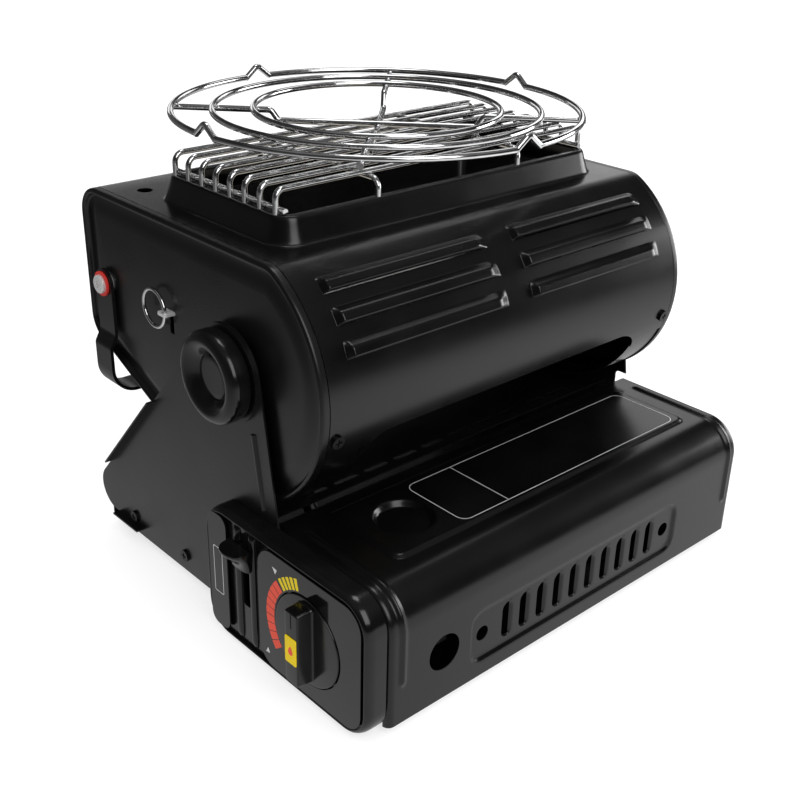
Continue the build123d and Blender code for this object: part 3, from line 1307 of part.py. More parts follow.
def valve_knob():
    """Round disc with a raised grip bar."""
    disc = rod(GRIP_BASE_X, DISC_X, VALVE_Y, VALVE_Z, VALVE_DISC_R)
    rim = disc.faces().sort_by(Axis.X)[0].edges()
    disc = fillet(rim, VALVE_DISC_T / 2)
    place = Pos(VALVE_Y, VALVE_Z)
    top = RectangleRounded(VALVE_GRIP_W, VALVE_GRIP_L, 2 * SHEET)
    root = RectangleRounded(VALVE_GRIP_W + VALVE_GRIP_DRAFT, VALVE_GRIP_L + VALVE_GRIP_DRAFT, 2 * SHEET)
    grip = loft([yz(GRIP_BASE_X) * place * root, yz(GRIP_X) * place * top], ruled=True)
    knob = disc + grip
    return knob - rod(DISC_X - SPINDLE_GRIP, DISC_X, VALVE_Y, VALVE_Z, SPINDLE_R)


def knob_insert():
    """Coloured insert on the grip."""
    place = Pos(VALVE_Y, VALVE_Z + INSERT_SHIFT)
    return prism(place * RectangleRounded(INSERT_W, INSERT_L, SHEET), GRIP_X - INSERT_T, GRIP_X)


def valve_spindle():
    """Shaft from the knob into the regulator."""
    return rod(DISC_X - SPINDLE_GRIP, REG_X + SPINDLE_SEAT, VALVE_Y, VALVE_Z, SPINDLE_R)


def lock_rod_places():
    """Heights and sides of the lock's two rods."""
    return [CARTRIDGE_Y - LOCK_ROD_SET, CARTRIDGE_Y + LOCK_ROD_SET]


def regulator_body():
    """Cast gas regulator on a foot, bored for the valve spindle and the lock's rods."""
    body = block((REG_X, REG_END_X), (REG_FRONT_Y, REG_REAR_Y), (REG_LOW_Z, REG_HIGH_Z))
    body = fillet(body.edges().filter_by(Axis.X), REG_EDGE_R)
    foot_x = (REG_X + REG_FOOT_SET, REG_END_X - REG_FOOT_SET)
    foot_y = (REG_FRONT_Y + REG_FOOT_SET, REG_REAR_Y - REG_FOOT_SET)
    body = body + block(foot_x, foot_y, (PAN_TOP_Z, REG_LOW_Z))
    body = body - rod(REG_X, REG_X + SPINDLE_SEAT, VALVE_Y, VALVE_Z, SPINDLE_R + RUN_FIT)
    bore_x = REG_END_X - LOCK_ROD_DEPTH - LOCK_TRAVEL - SHEET
    for y in lock_rod_places():
        body = body - rod(bore_x, REG_END_X, y, CARTRIDGE_Z, LOCK_ROD_R + RUN_FIT)
    return body


def cartridge_seat():
    """Round socket on the regulator that the cartridge's neck is pushed into."""
    seat = rod(REG_END_X, SEAT_END_X, CARTRIDGE_Y, CARTRIDGE_Z, SEAT_R)
    return seat - rod(SEAT_END_X - SEAT_BORE, SEAT_END_X, CARTRIDGE_Y, CARTRIDGE_Z, SEAT_BORE_R)


def cartridge_lock():
    """Fork that draws the cartridge onto its seat, sliding on two rods."""
    low = (CARTRIDGE_Y - LOCK_HALF, CARTRIDGE_Z - LOCK_HEIGHT)
    plate = rounded_face(low, (CARTRIDGE_Y + LOCK_HALF, CARTRIDGE_Z + LOCK_HEIGHT), 2 * LOCK_T)
    throat = Pos(CARTRIDGE_Y, CARTRIDGE_Z) * Circle(LOCK_THROAT_R)
    mouth = Rectangle(2 * LOCK_THROAT_R, LOCK_HEIGHT)
    throat = throat + Pos(CARTRIDGE_Y, CARTRIDGE_Z + LOCK_HEIGHT / 2) * mouth
    lock = prism(plate - throat, LOCK_X, LOCK_X + LOCK_T)
    for y in lock_rod_places():
        lock = lock + rod(REG_END_X - LOCK_ROD_DEPTH, LOCK_X + LOCK_T, y, CARTRIDGE_Z, LOCK_ROD_R)
    return lock


def cartridge_cradle():
    """Two curved saddles on the pan that the cartridge lies in."""
    low = (CARTRIDGE_Y - CRADLE_WIDTH / 2, PAN_TOP_Z)
    top = CARTRIDGE_Z - CARTRIDGE_R + SEAT_R
    saddle = rounded_face(low, (CARTRIDGE_Y + CRADLE_WIDTH / 2, top), CRADLE_T)
    saddle = saddle - Pos(CARTRIDGE_Y, CARTRIDGE_Z) * Circle(CARTRIDGE_R + SIDE_GAP)
    saddles = []
    for side in (-1, 1):
        x = CRADLE_X + side * CRADLE_PITCH / 2
        saddles.append(prism(saddle, x - CRADLE_LENGTH / 2, x + CRADLE_LENGTH / 2))
    return Compound(saddles)


def piezo_igniter():
    """Spark generator lying on the regulator."""
    x = (REG_X + PIEZO_SET / 2, REG_X + PIEZO_SET / 2 + PIEZO_LENGTH)
    y = REG_REAR_Y - PIEZO_SET
    axis_z = REG_HIGH_Z + PIEZO_R
    saddle = block(x, (y - PIEZO_R, y + PIEZO_R), (REG_HIGH_Z, axis_z))
    return rod(*x, y, axis_z, PIEZO_R) + saddle


def carry_handle():
    """Flat steel bail: two arms on the drum's ends, stepped out past the rim, and a bar below."""
    joggle_z = HANDLE_Z - HANDLE_JOGGLE_TOP
    outer_x = ARM_MID_X + HANDLE_JOGGLE
    top_z = HANDLE_Z + HANDLE_WIDTH / 2
    half = [
        (ARM_MID_X, top_z),
        (ARM_MID_X, joggle_z),
        (outer_x, joggle_z - HANDLE_JOGGLE_RUN),
        (outer_x, HANDLE_LOW_Z + HANDLE_T / 2),
    ]
    path = half + [(-x, z) for x, z in reversed(half)]
    joggle = [HANDLE_JOGGLE_R, HANDLE_JOGGLE_R]
    bends = joggle + [HANDLE_BEND_R, HANDLE_BEND_R] + joggle
    strip = trace(FilletPolyline(*path, radius=bends), HANDLE_T)
    strap = extrude(xz(HANDLE_Y + HANDLE_WIDTH / 2) * strip, amount=HANDLE_WIDTH)
    end = Pos(HANDLE_Y, HANDLE_Z) * Circle(HANDLE_WIDTH / 2)
    end = end + Pos(HANDLE_Y, HANDLE_Z - HANDLE_DROP / 2) * Rectangle(HANDLE_WIDTH, HANDLE_DROP)
    reach = outer_x + HANDLE_T
    strap = strap & prism(end, -reach, reach)
    return strap - rod(-reach, reach, HANDLE_Y, HANDLE_Z, HANDLE_PIN_R + RUN_FIT)


def handle_screw():
    """Shouldered screw with a domed head that the handle's arm turns on."""
    head_x = WASHER_X + HANDLE_WASHER_T
    pin = rod(FIELD_BACK_X - HANDLE_NUT_T, head_x, HANDLE_Y, HANDLE_Z, HANDLE_PIN_R)
    head = rod(head_x, head_x + HANDLE_HEAD_H, HANDLE_Y, HANDLE_Z, HANDLE_HEAD_R)
    head = fillet(head.faces().sort_by(Axis.X)[-1].edges(), HANDLE_HEAD_H / 2)
    cross = Rectangle(SCREW_SLOT_L, SCREW_SLOT_W) + Rectangle(SCREW_SLOT_W, SCREW_SLOT_L)
    top_x = head_x + HANDLE_HEAD_H
    return pin + head - prism(Pos(HANDLE_Y, HANDLE_Z) * cross, top_x - SCREW_SLOT_DEPTH, top_x)


def handle_sleeve(x0, x1, radius):
    """Washer, spacer or nut on the handle's two screws."""
    return both_ends(tube(x0, x1, HANDLE_Y, HANDLE_Z, radius, HANDLE_PIN_R + RUN_FIT))


def latch_guide():
    """Block inside the drum end that the latch blade slides in."""
    outer = offset(latch_slot(LATCH_ROOM), amount=LATCH_GUIDE_WALL, kind=Kind.INTERSECTION)
    return prism(outer - latch_slot(LATCH_ROOM), -FIELD_BACK_X, -FIELD_BACK_X + LATCH_GUIDE_T)


def latch_blade():
    """Sliding blade with a stop inside and a drilled leaf outside for the ring."""
    blade = prism(latch_slot(0), -FIELD_X - SHEET, LATCH_STOP_X)
    stop = Pos(LATCH_Y, LATCH_Z - LATCH_H / 2) * Rectangle(LATCH_STOP_W, LATCH_H + LATCH_STOP_T)
    blade = blade + prism(stop, LATCH_STOP_X, LATCH_STOP_X + LATCH_STOP_T)
    leaf_y = (LATCH_Y - LATCH_LEAF_W / 2, LATCH_Y + LATCH_LEAF_W / 2)
    leaf_z = (LATCH_Z - LATCH_LEAF_T, LATCH_Z)
    leaf = slab((LATCH_TIP_X, -FIELD_X), leaf_y, leaf_z, LATCH_LEAF_T)
    hole = Pos(RING_X, LATCH_Y, leaf_z[0]) * Circle(RING_WIRE_R + RING_ROOM)
    leaf = leaf - block((-FIELD_X - RING_ROOM, 0), (LATCH_Y - LATCH_LEAF_W, LATCH_Y + LATCH_LEAF_W), leaf_z)
    return blade + leaf - extrude(hole, amount=LATCH_LEAF_T)


def pull_ring():
    """Finger ring through the latch's leaf."""
    middle = Plane(origin=(RING_X, LATCH_Y + RING_R, LATCH_Z - LATCH_LEAF_T / 2), z_dir=(1, 0, 0))
    return middle * Torus(RING_R, RING_WIRE_R)


def nodes():
    """Every piece by its node's name."""
    return {
        "upper_shell": upper_shell(),
        "lower_shell": lower_shell(),
        "left_end_plate": left_end_plate(),
        "right_end_plate": end_plate(),
        "opening_collar": opening_collar(),
        "reflector_pan": reflector_pan(),
        "burner_plate": burner_plate(),
        "burner_box": burner_box(),
        "igniter_electrode": probe(PROBE_X),
        "flame_sensor": probe(-PROBE_X),
        "inlet_tube": rod(INLET_X, JET_X, PIVOT_Y, PIVOT_Z, PIPE_R),
        "gas_jet": gas_jet(),
        "jet_bracket": jet_bracket(),
        "mixing_tube": mixing_tube(),
        "guard_bars": guard_bars(),
        "guard_braces": guard_braces(),
        "shell_screws": Compound([screw(p) for p in shell_screw_planes()]),
        "pivot_studs": both_ends(pivot_stud()),
        "handle_screws": both_ends(handle_screw()),
        "handle_washers": handle_sleeve(WASHER_X, WASHER_X + HANDLE_WASHER_T, HANDLE_WASHER_R),
        "handle_spacers": handle_sleeve(FIELD_X, HANDLE_X - SIDE_GAP, HANDLE_SPACER_R),
        "handle_nuts": handle_sleeve(FIELD_BACK_X - HANDLE_NUT_T, FIELD_BACK_X, HANDLE_NUT_R),
        "latch_guide": latch_guide(),
        "latch_blade": latch_blade(),
        "pull_ring": pull_ring(),
        "carry_handle": carry_handle(),
        "pot_trivet": pot_trivet(),
        "left_clamp_knob": mirrored(clamp_knob()),
        "right_clamp_knob": clamp_knob(),
        "base_pan": base_pan(),
        "left_bracket": left_bracket(),
        "right_bracket": right_bracket(),
        "pivot_bushes": both_ends(pivot_bush()),
        "bracket_bosses": both_ends(bracket_boss()),
        "bracket_screws": bracket_screws(),
        "rubber_feet": rubber_feet(),
        "compartment_wall": compartment_wall(),
        "heat_shield": heat_shield(),
        "lid_pins": lid_pins(),
        "control_bezel": control_bezel(),
        "control_plate": control_plate(),
        "side_strip": side_strip(),
        "regulator_body": regulator_body(),
        "cartridge_seat": cartridge_seat(),
        "cartridge_cradle": cartridge_cradle(),
        "piezo_igniter": piezo_igniter(),
        "gas_pipe": gas_pipe(),
        "cartridge_lid": cartridge_lid(),
        "gas_lever": gas_lever(),
        "cartridge_lock": cartridge_lock(),
        "valve_knob": valve_knob(),
        "knob_insert": knob_insert(),
        "valve_spindle": valve_spindle(),
    }


for name, shape in nodes().items():
    export_step(Pos(-ORIGIN_X, -ORIGIN_Y, 0) * shape, f"parts/{name}.step")
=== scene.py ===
"""Looks of a tabletop gas heater: its finishes, pressed sheet forms, knobs and prints, in a plain studio.

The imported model's frame is in metres: +X along the drum away from the control end, +Y to the rear, +Z up.
Pieces are drawn here in millimetres, in the part source's own coordinates. OFFSET moves them into the frame.
"""
import json
import math

import bmesh
import bpy
from mathutils import Matrix, Vector

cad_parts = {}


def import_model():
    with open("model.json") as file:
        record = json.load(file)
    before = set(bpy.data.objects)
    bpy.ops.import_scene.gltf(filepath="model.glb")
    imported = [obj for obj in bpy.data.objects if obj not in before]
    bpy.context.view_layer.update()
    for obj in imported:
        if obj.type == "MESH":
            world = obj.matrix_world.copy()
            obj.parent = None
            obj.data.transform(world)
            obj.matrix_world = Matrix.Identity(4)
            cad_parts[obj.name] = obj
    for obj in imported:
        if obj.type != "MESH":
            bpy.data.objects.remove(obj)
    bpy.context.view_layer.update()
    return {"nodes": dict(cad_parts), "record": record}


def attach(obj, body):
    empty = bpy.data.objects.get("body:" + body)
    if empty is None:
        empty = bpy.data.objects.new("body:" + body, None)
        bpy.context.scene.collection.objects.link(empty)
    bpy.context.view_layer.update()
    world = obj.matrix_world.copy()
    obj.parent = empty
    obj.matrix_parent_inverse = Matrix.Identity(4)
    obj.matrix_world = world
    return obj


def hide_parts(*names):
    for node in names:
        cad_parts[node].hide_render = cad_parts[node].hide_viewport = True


# A millimetre in metres, and the millimetres within which vertices, and a slot's edges, count as one
MM = 0.001
WELD = 0.003
SLACK = 0.01

# Camera of the photograph, aimed at a point of the drawing
CAMERA_AIM = (15.0, 29.475, 73.5)
CAMERA_DISTANCE = 0.7329
CAMERA_AZIMUTH = -42.68
CAMERA_ELEVATION = 26.1
CAMERA_ROLL = 1.42
CAMERA_LENS = 51.98
SENSOR_WIDTH = 36.0

# Studio: a pale floor that fades with distance in mirrored light, under a dark ceiling
FLOOR_RADIUS = 9.0
FLOOR_COLOUR = (0.42, 0.42, 0.42)
FLOOR_GLOW = 0.67
MIRROR_GLOW = (0.98, 0.10)
MIRROR_FADE = (0.05, 1.15)
MIRROR_MIDDLE = (0.25, -0.35, 0.0)
SKY_LIGHT = (1.0, 1.0, 1.0, 1.0)
SKY_MIRRORED = ((0.05, 0.06), (0.14, 0.02), (0.55, 0.02), (0.85, 0.12))
SKY_LEAN = -0.243

# Lamps: place and size in metres, and power in watts
LAMP_AIM = (0.0, 0.0, 0.13)
LAMPS = {
    "front_box": ((-0.25, -1.1, 0.95), (0.7, 1.0), 6.6),
    "right_box": ((1.15, -0.38, 0.30), (0.62, 0.5), 5.4),
    "upper_box": ((0.70, 0.32, 1.02), (0.4, 0.34), 0.5),
    "overhead_box": ((0.17, 0.16, 1.25), (0.4, 0.4), 2.0),
    "rear_box": ((0.66, 1.4, 0.42), (0.8, 0.3), 0.7),
    "corner_box": ((1.04, 0.5, 0.59), (0.45, 0.4), 0.75),
}

# Drum: pivot, section about the pivot, sheet and louvres
PIVOT_Y = -13.0
PIVOT_Z = 153.5
SHEET = 0.7
DRUM_R = 70.0
DRUM_HALF = 137.0
SHELL_HALF = 131.9
CORNER_R = 16.0
BROW = 60.5
SLOPE = 246.57
BROW_MID = (-26.6, 47.0)
REAR_MID = (132.0, 47.0)
HEEL_MID = (132.0, -13.99)
SOLE_MID = (39.68, -54.0)
SHELL_EDGE = -17.0
SHELL_TAB = -22.0
SHELL_TAB_X = 107.9
SHELL_HEEL = 223.07
CUT_RUN = 20.0
CUT_DROP = 13.0
TAB_STEP = 0.1
TAB_ROWS = 6
SHELL_GRID = (9.0, 6.0)
LOUVRE_X = (9.0, 119.0)
LOUVRE_FIRST = 19.5
LOUVRE_PITCH = 13.3
LOUVRE_SPAN = 7.6
LOUVRE_ROWS = 3
LOUVRE_RISE = 3.7
LOUVRE_LEFT_RUN = 2.7
LOUVRE_RIGHT_RUN = 8.0
LOUVRE_TOP_RUN = 4.0

# Louvres' sloping sides as shares of their run, their rolled lips, and the grid's marks over both
SIDE_FOOT = 0.15
SIDE_SHOULDER = 0.7
SIDE_END = 1.3
SIDE_MARKS = (-0.08, -0.02, 0.0, 0.05, 0.1, 0.15, 0.3, 0.5, 0.7, 0.8, 0.9, 1.0, 1.1, 1.2, 1.3, 1.42)
LIP_MARKS = (0.0, 0.2, 0.4, 0.6, 0.8, 1.0, 1.3)
LIP_ROLL = 1.5
LIP_DROP = 2.0
LIP_STEP = 0.0005
LIP_GUARD = 0.4

# Opening, collar and the small hole beside it
OPENING_HALF = 110.0
OPENING_Y = 28.0
OPENING_HALF_WIDTH = 49.0
OPENING_CORNER = 7.0
TOP_Z = 216.5
TOP_HOLE = (-115.5, 99.5)
TOP_HOLE_R = 4.4
TOP_HOLE_REACH = 6.5
COLLAR_PROFILE = (
    (9.4, 216.55), (8.9, 216.65), (8.4, 217.0), (7.9, 217.7), (7.4, 218.9), (5.2, 225.4), (4.7, 227.2),
    (4.2, 228.6), (3.6, 229.45), (2.9, 229.9), (2.2, 230.0), (0.4, 230.0), (-0.4, 229.85), (-0.9, 229.4),
    (-1.0, 228.8),
)

# End plates: inset from the drum's section against x
END_PROFILE = (
    (1.55, 120.4), (1.55, 131.2), (1.2, 131.8), (0.35, 132.05), (0.0, 132.5), (0.0, 135.0), (0.12, 135.8),
    (0.5, 136.45), (1.05, 136.85), (1.7, 137.0), (2.3, 136.9), (2.8, 136.5), (3.15, 135.9), (3.35, 135.2),
    (3.6, 134.6), (3.95, 134.25), (4.5, 134.1), (5.5, 134.1), (6.5, 134.15), (8.0, 134.35), (9.5, 134.75),
    (11.0, 135.2), (12.5, 135.6), (14.0, 135.87), (15.2, 135.97), (15.6, 136.0),
)
END_STEP = 5.0
BUSH_HOLE_R = 11.5
HANDLE_AT = (112.0, 164.0)
HANDLE_HOLE_R = 6.05
LATCH_SLOT = ((43.95, 48.05), (153.65, 167.35))

# Cartridge lid: path from its rear edge over the top, round the corner and down the front
LID_X = (-138.5, 147.8)
LID_REAR_Y = -45.5
LID_FRONT_Y = -134.0
LID_TOP_Z = 77.6
LID_LOW_Z = 4.0
LID_CORNER = 21.0
LID_END_R = 4.0
PANEL_X = (-111.5, 125.8)
PANEL_Y = (-109.5, -52.5)
PANEL_R = 6.0
PRESS = 1.6
PRESS_WALL = 2.6
DISH_AT = (-82.5, -81.5)
DISH_R = 17.0
DISH_DEPTH = 3.6
DISH_WALL = 3.4
BEAD_X = (-129.5, 138.8)
BEAD_HALF = 2.9
BEAD_RISE = 1.45
BEAD_REAR_Y = -61.5
BEAD_LOW_Z = 29.0
PAD_X = (-83.0, 89.8)
PAD_Z = (12.5, 46.0)
PAD_R = 9.0
SLOT_FIRST = -58.4
SLOT_PITCH = 13.378
SLOT_COUNT = 10
SLOT_WIDTH = 8.4
SLOT_OPEN = 6.2
SLOT_HALF = 11.0
SLOT_DEPTH = 1.2
SLOT_FLANK_MARKS = (6.6, 7.0, 7.5, 8.0)
SLOT_END_MARKS = (0.0, 0.15, 0.6, 1.3, 2.3)
SIGHT_HOLE = (-101.5, 32.8)
SIGHT_HOLE_R = 10.3
PAD_HOLES = ((-73.0, 29.25), (79.8, 29.25))
PAD_HOLE_R = 4.3
HOLE_MARGIN = 2.0
GRID_STEP = 1.6
WALL_STEPS = 5
BEND_STEPS = 14
DISH_STEPS = 28
BEAD_STEPS = 6
END_BEND_STEPS = 6

# Clamp knob: x against radius, for the right-hand end
KNOB_PROFILE = (
    (143.1, 5.1), (143.1, 22.6), (143.35, 23.3), (143.9, 23.9), (144.8, 24.3), (146.0, 24.5), (150.8, 24.5),
    (152.4, 24.2), (153.7, 23.4), (154.7, 22.0), (155.25, 20.4), (155.3, 19.4), (155.1, 18.3), (154.5, 16.9),
    (153.5, 15.3), (152.4, 14.0), (151.3, 13.0), (150.6, 12.3), (150.2, 11.6), (149.7, 11.5), (149.7, 11.2),
    (150.3, 11.1), (150.45, 10.7), (150.4, 8.0), (150.3, 0.0),
)

# Control bezel: inset from its outline against x, the sunk floor's slot, and the ridges beside it
BEZEL_MIDDLE = (-68.0, 41.0)
BEZEL_HALF = (67.0, 40.0)
BEZEL_R = 18.0
BEZEL_PROFILE = (
    (0.0, -141.0), (0.0, -147.4), (0.1, -148.6), (0.4, -149.9), (0.85, -151.1), (1.4, -152.0), (2.0, -152.55),
    (2.45, -152.78), (2.8, -152.78), (3.1, -152.6), (3.25, -152.3), (3.3, -150.8), (4.2, -150.8),
)
BEZEL_WALL = 1.6
LEVER_SLOT = ((-39.1, -32.9), (29.0, 68.1))
RIDGE_SET = 6.4
RIDGE_HALF = 2.6
RIDGE_RISE = 1.9
RIDGE_Z = (6.6, 75.4)
RIDGE_STEPS = 24
RIDGE_ROUND = 12
RIDGE_BLUNT = 24

# Valve knob: disc and grip, and the sliding lever's tab
VALVE_AT = (-90.0, 39.6)
PLATE_X = -153.2
DISC_PROFILE = (
    (-152.7, 3.6), (-152.7, 25.0), (-153.4, 25.0), (-153.7, 24.9), (-153.85, 24.65), (-153.9, 24.2),
    (-153.9, 0.0),
)
GRIP_HALF = (5.0, 21.25)
GRIP_RINGS = (
    (-153.6, 1.2, 2.4), (-154.2, 0.75, 2.0), (-155.4, 0.5, 1.6), (-162.2, 0.05, 1.2), (-162.7, -0.1, 1.1),
    (-162.95, -0.4, 0.9), (-163.0, -0.9, 0.6),
)
LEVER_Y = -36.0
LEVER_ROOT_X = -153.1
LEVER_RINGS = (
    (67.6, 10.2, 9.0), (67.9, 10.7, 9.3), (68.0, 11.1, 9.5), (67.8, 11.4, 9.5), (67.2, 11.5, 9.5),
    (66.4, 11.2, 9.4), (65.2, 10.0, 9.2), (63.6, 8.0, 8.9), (61.6, 6.0, 8.5), (59.0, 4.2, 8.2),
    (56.6, 3.2, 8.0), (55.2, 2.9, 7.8), (55.0, 2.5, 7.5),
)
LEVER_SQUARE = 0.6
LEVER_STEPS = 32
LEVER_BLOCKS = (
    ((-153.1, -136.1), (-38.5, -33.5), (57.5, 67.5)),
    ((-139.1, -136.1), (-60.0, -36.0), (57.5, 67.5)),
    ((-149.5, -148.0), (-44.5, -27.5), (52.5, 72.5)),
)

# Prints: plain bands, marks and frames
PRINT_LIFT = 0.05
ARC_R = (26.7, 33.4)
RED_ARC = (-38.0, 44.0)
RED_PARTS = 9
YELLOW_ARC = (47.0, 79.0)
YELLOW_PARTS = 5
LABEL_X = (-62.5, 119.0)
LABEL_Y = (-105.4, -59.9)
LABEL_R = 6.0
LABEL_LINE = 0.36
LABEL_SPLIT = -28.6
RED_GAP = 0.8
YELLOW_GAP = 2.0
PLATE_MARKS = (
    ((23.5, 29.0), (27.5, 29.5), (25.0, 26.0)),
    ((31.5, -26.5), (35.0, -27.0), (33.0, -23.5)),
)
STRIP_Y = (-17.8, -9.6)
STRIP_Z = (27.0, 56.0)
STRIP_R = 1.2
STRIP_LINE = 0.45
GRIP_MARK = ((-0.5, 0.4), (12.0, 20.4))
INSERT_X = -163.5
FLAME_HALF = (1.6, 2.6)
FLAME_DROP = 0.9
FLAME_TAPER = 0.55

# Specular level of the inks and the valve knob's insert
MATT = 0.15


class Finish:
    """A material with one principled shader, and short calls for the nodes that shape it."""

    def __init__(self, name, **values):
        self.material = bpy.data.materials.new(name)
        self.material.use_nodes = True
        self.tree = self.material.node_tree
        self.shader = self.tree.nodes["Principled BSDF"]
        for socket, value in values.items():
            self.shader.inputs[socket.replace("_", " ")].default_value = value
        self.place = self.tree.nodes.new("ShaderNodeTexCoord").outputs["Object"]

    def join(self, source, target):
        """Links an output to an input."""
        self.tree.links.new(source, target)

    def set(self, socket, source):
        """Drives one socket of the shader."""
        self.join(source, self.shader.inputs[socket])

    def stretched(self, scale):
        """Coordinates with a scale of their own on each axis."""
        mapping = self.tree.nodes.new("ShaderNodeMapping")
        mapping.inputs["Scale"].default_value = scale
        self.join(self.place, mapping.inputs["Vector"])
        return mapping.outputs["Vector"]

    def noise(self, size, detail=3.0, place=None):
        """Soft noise whose lumps are about size metres across."""
        noise = self.tree.nodes.new("ShaderNodeTexNoise")
        noise.inputs["Scale"].default_value = 1.0 / size
        noise.inputs["Detail"].default_value = detail
        self.join(place or self.place, noise.inputs["Vector"])
        return noise.outputs["Fac"]

    def spread(self, value, low, high, start=0.35, stop=0.65):
        """Maps a value between start and stop onto low to high."""
        spread = self.tree.nodes.new("ShaderNodeMapRange")
        numbers = (start, stop, low, high)
        for socket, number in zip(("From Min", "From Max", "To Min", "To Max"), numbers):
            spread.inputs[socket].default_value = number
        self.join(value, spread.inputs["Value"])
        return spread.outputs["Result"]

    def colours(self, value, stops):
        """Colour ramp with stops of (position, colour)."""
        ramp = self.tree.nodes.new("ShaderNodeValToRGB")
        ramp.color_ramp.elements[0].position = stops[0][0]
        ramp.color_ramp.elements[-1].position = stops[-1][0]
        for position, _ in stops[1:-1]:
            ramp.color_ramp.elements.new(position)
        for element, (_, colour) in zip(ramp.color_ramp.elements, stops):
            element.color = (*colour, 1.0)
        self.join(value, ramp.inputs["Fac"])
        return ramp.outputs["Color"]

    def sum(self, a, b, weight):
        """a plus b times a weight."""
        node = self.tree.nodes.new("ShaderNodeMath")
        node.operation = "MULTIPLY_ADD"
        self.join(b, node.inputs[0])
        node.inputs[1].default_value = weight
        self.join(a, node.inputs[2])
        return node.outputs[0]

    def mix(self, mask, a, b):
        """Colour a where the mask is 0 and b where it is 1."""
        node = self.tree.nodes.new("ShaderNodeMix")
        node.data_type = "RGBA"
        colours = [s for s in node.inputs if s.type == "RGBA"]
        self.join(mask, node.inputs[0])
        for socket, colour in zip(colours, (a, b)):
            if isinstance(colour, tuple):
                socket.default_value = (*colour, 1.0)
            else:
                self.join(colour, socket)
        return [s for s in node.outputs if s.type == "RGBA"][0]

    def edges(self, radius):
        """1 along sharp edges and 0 on the faces."""
        bevel = self.tree.nodes.new("ShaderNodeBevel")
        bevel.samples = 4
        bevel.inputs["Radius"].default_value = radius
        geometry = self.tree.nodes.new("ShaderNodeNewGeometry")
        dot = self.tree.nodes.new("ShaderNodeVectorMath")
        dot.operation = "DOT_PRODUCT"
        self.join(bevel.outputs["Normal"], dot.inputs[0])
        self.join(geometry.outputs["Normal"], dot.inputs[1])
        return self.spread(dot.outputs["Value"], 1.0, 0.0, 0.80, 0.985)

    def bump(self, height, distance, strength=1.0):
        """Relief of the surface, distance metres deep."""
        bump = self.tree.nodes.new("ShaderNodeBump")
        bump.inputs["Strength"].default_value = strength
        bump.inputs["Distance"].default_value = distance
        self.join(height, bump.inputs["Height"])
        self.set("Normal", bump.outputs["Normal"])


def coat(name, dark, light, gloss, grain, relief, edge_wear_and_highlight, shine=0.5):
    """Powder coat: two close tones, a fine grain, and edges painted a little lighter, partly as wear and
    partly as a painted highlight where edges catch the light.
    """
    finish = Finish(name, Specular_IOR_Level=shine)
    blotch = finish.noise(0.03)
    tone = finish.colours(blotch, [(0.3, (dark,) * 3), (0.7, (light,) * 3)])
    # Painted edge highlight: sharp edges are painted lighter, partly as wear and partly as light caught along
    # the edges.
    wear_and_highlight_edges = finish.edges(0.5 * MM)
    patch = finish.noise(0.006, detail=5.0)
    mask = finish.tree.nodes.new("ShaderNodeMath")
    mask.operation = "MULTIPLY"
    finish.join(wear_and_highlight_edges, mask.inputs[0])
    finish.join(finish.spread(patch, 0.2, 1.0), mask.inputs[1])
    finish.set("Base Color", finish.mix(mask.outputs[0], tone, (edge_wear_and_highlight,) * 3))
    fine = finish.noise(grain, detail=2.0)
    finish.set("Roughness", finish.spread(finish.sum(blotch, fine, 0.35), gloss[0], gloss[1], 0.45, 0.90))
    finish.bump(fine, relief)
    return finish.material


def plated(name, colour, rough, smear):
    """Bright plating with faint smears in its gloss."""
    finish = Finish(name, Metallic=1.0)
    haze = finish.noise(smear, detail=4.0)
    darker = tuple(0.82 * c for c in colour)
    finish.set("Base Color", finish.colours(haze, [(0.3, darker), (0.7, colour)]))
    finish.set("Roughness", finish.spread(haze, *rough))
    return finish.material


def drawn_metal(name, colour, rough, along, metal=1.0):
    """Metal with fine lines along one axis; a plated one, with less metal, scatters light too."""
    finish = Finish(name, Metallic=metal)
    stretch = [1.0, 1.0, 1.0]
    stretch[along] = 0.03
    lines = finish.noise(0.7 * MM, detail=4.0, place=finish.stretched(stretch))
    darker = tuple(0.72 * c for c in colour)
    finish.set("Base Color", finish.colours(lines, [(0.3, darker), (0.7, colour)]))
    finish.set("Roughness", finish.spread(lines, *rough))
    finish.bump(lines, 0.02 * MM, 0.5)
    return finish.material


def moulded(name, colour, rough, grain, relief, shine=0.5):
    """Moulded plastic with a fine eroded texture."""
    finish = Finish(name, Specular_IOR_Level=shine)
    fine = finish.noise(grain, detail=3.0)
    broad = finish.noise(0.02)
    lighter = tuple(1.25 * c + 0.002 for c in colour)
    finish.set("Base Color", finish.colours(broad, [(0.3, colour), (0.7, lighter)]))
    finish.set("Roughness", finish.spread(finish.sum(broad, fine, 0.4), rough[0], rough[1], 0.45, 0.95))
    finish.bump(fine, relief)
    return finish.material


def ink(name, colour, rough):
    """Printed colour with little shine."""
    return moulded(name, colour, rough, 0.5 * MM, 0.002 * MM, MATT)


def ceramic(name):
    """Pale burner ceramic with pores and a scorched tint."""
    finish = Finish(name)
    scorch = finish.noise(0.018, detail=4.0)
    finish.set("Base Color", finish.colours(scorch, [(0.25, (0.46, 0.40, 0.33)), (0.6, (0.74, 0.70, 0.62))]))
    pores = finish.noise(0.8 * MM, detail=3.0)
    finish.set("Roughness", finish.spread(pores, 0.7, 0.95))
    finish.bump(pores, 0.15 * MM)
    return finish.material


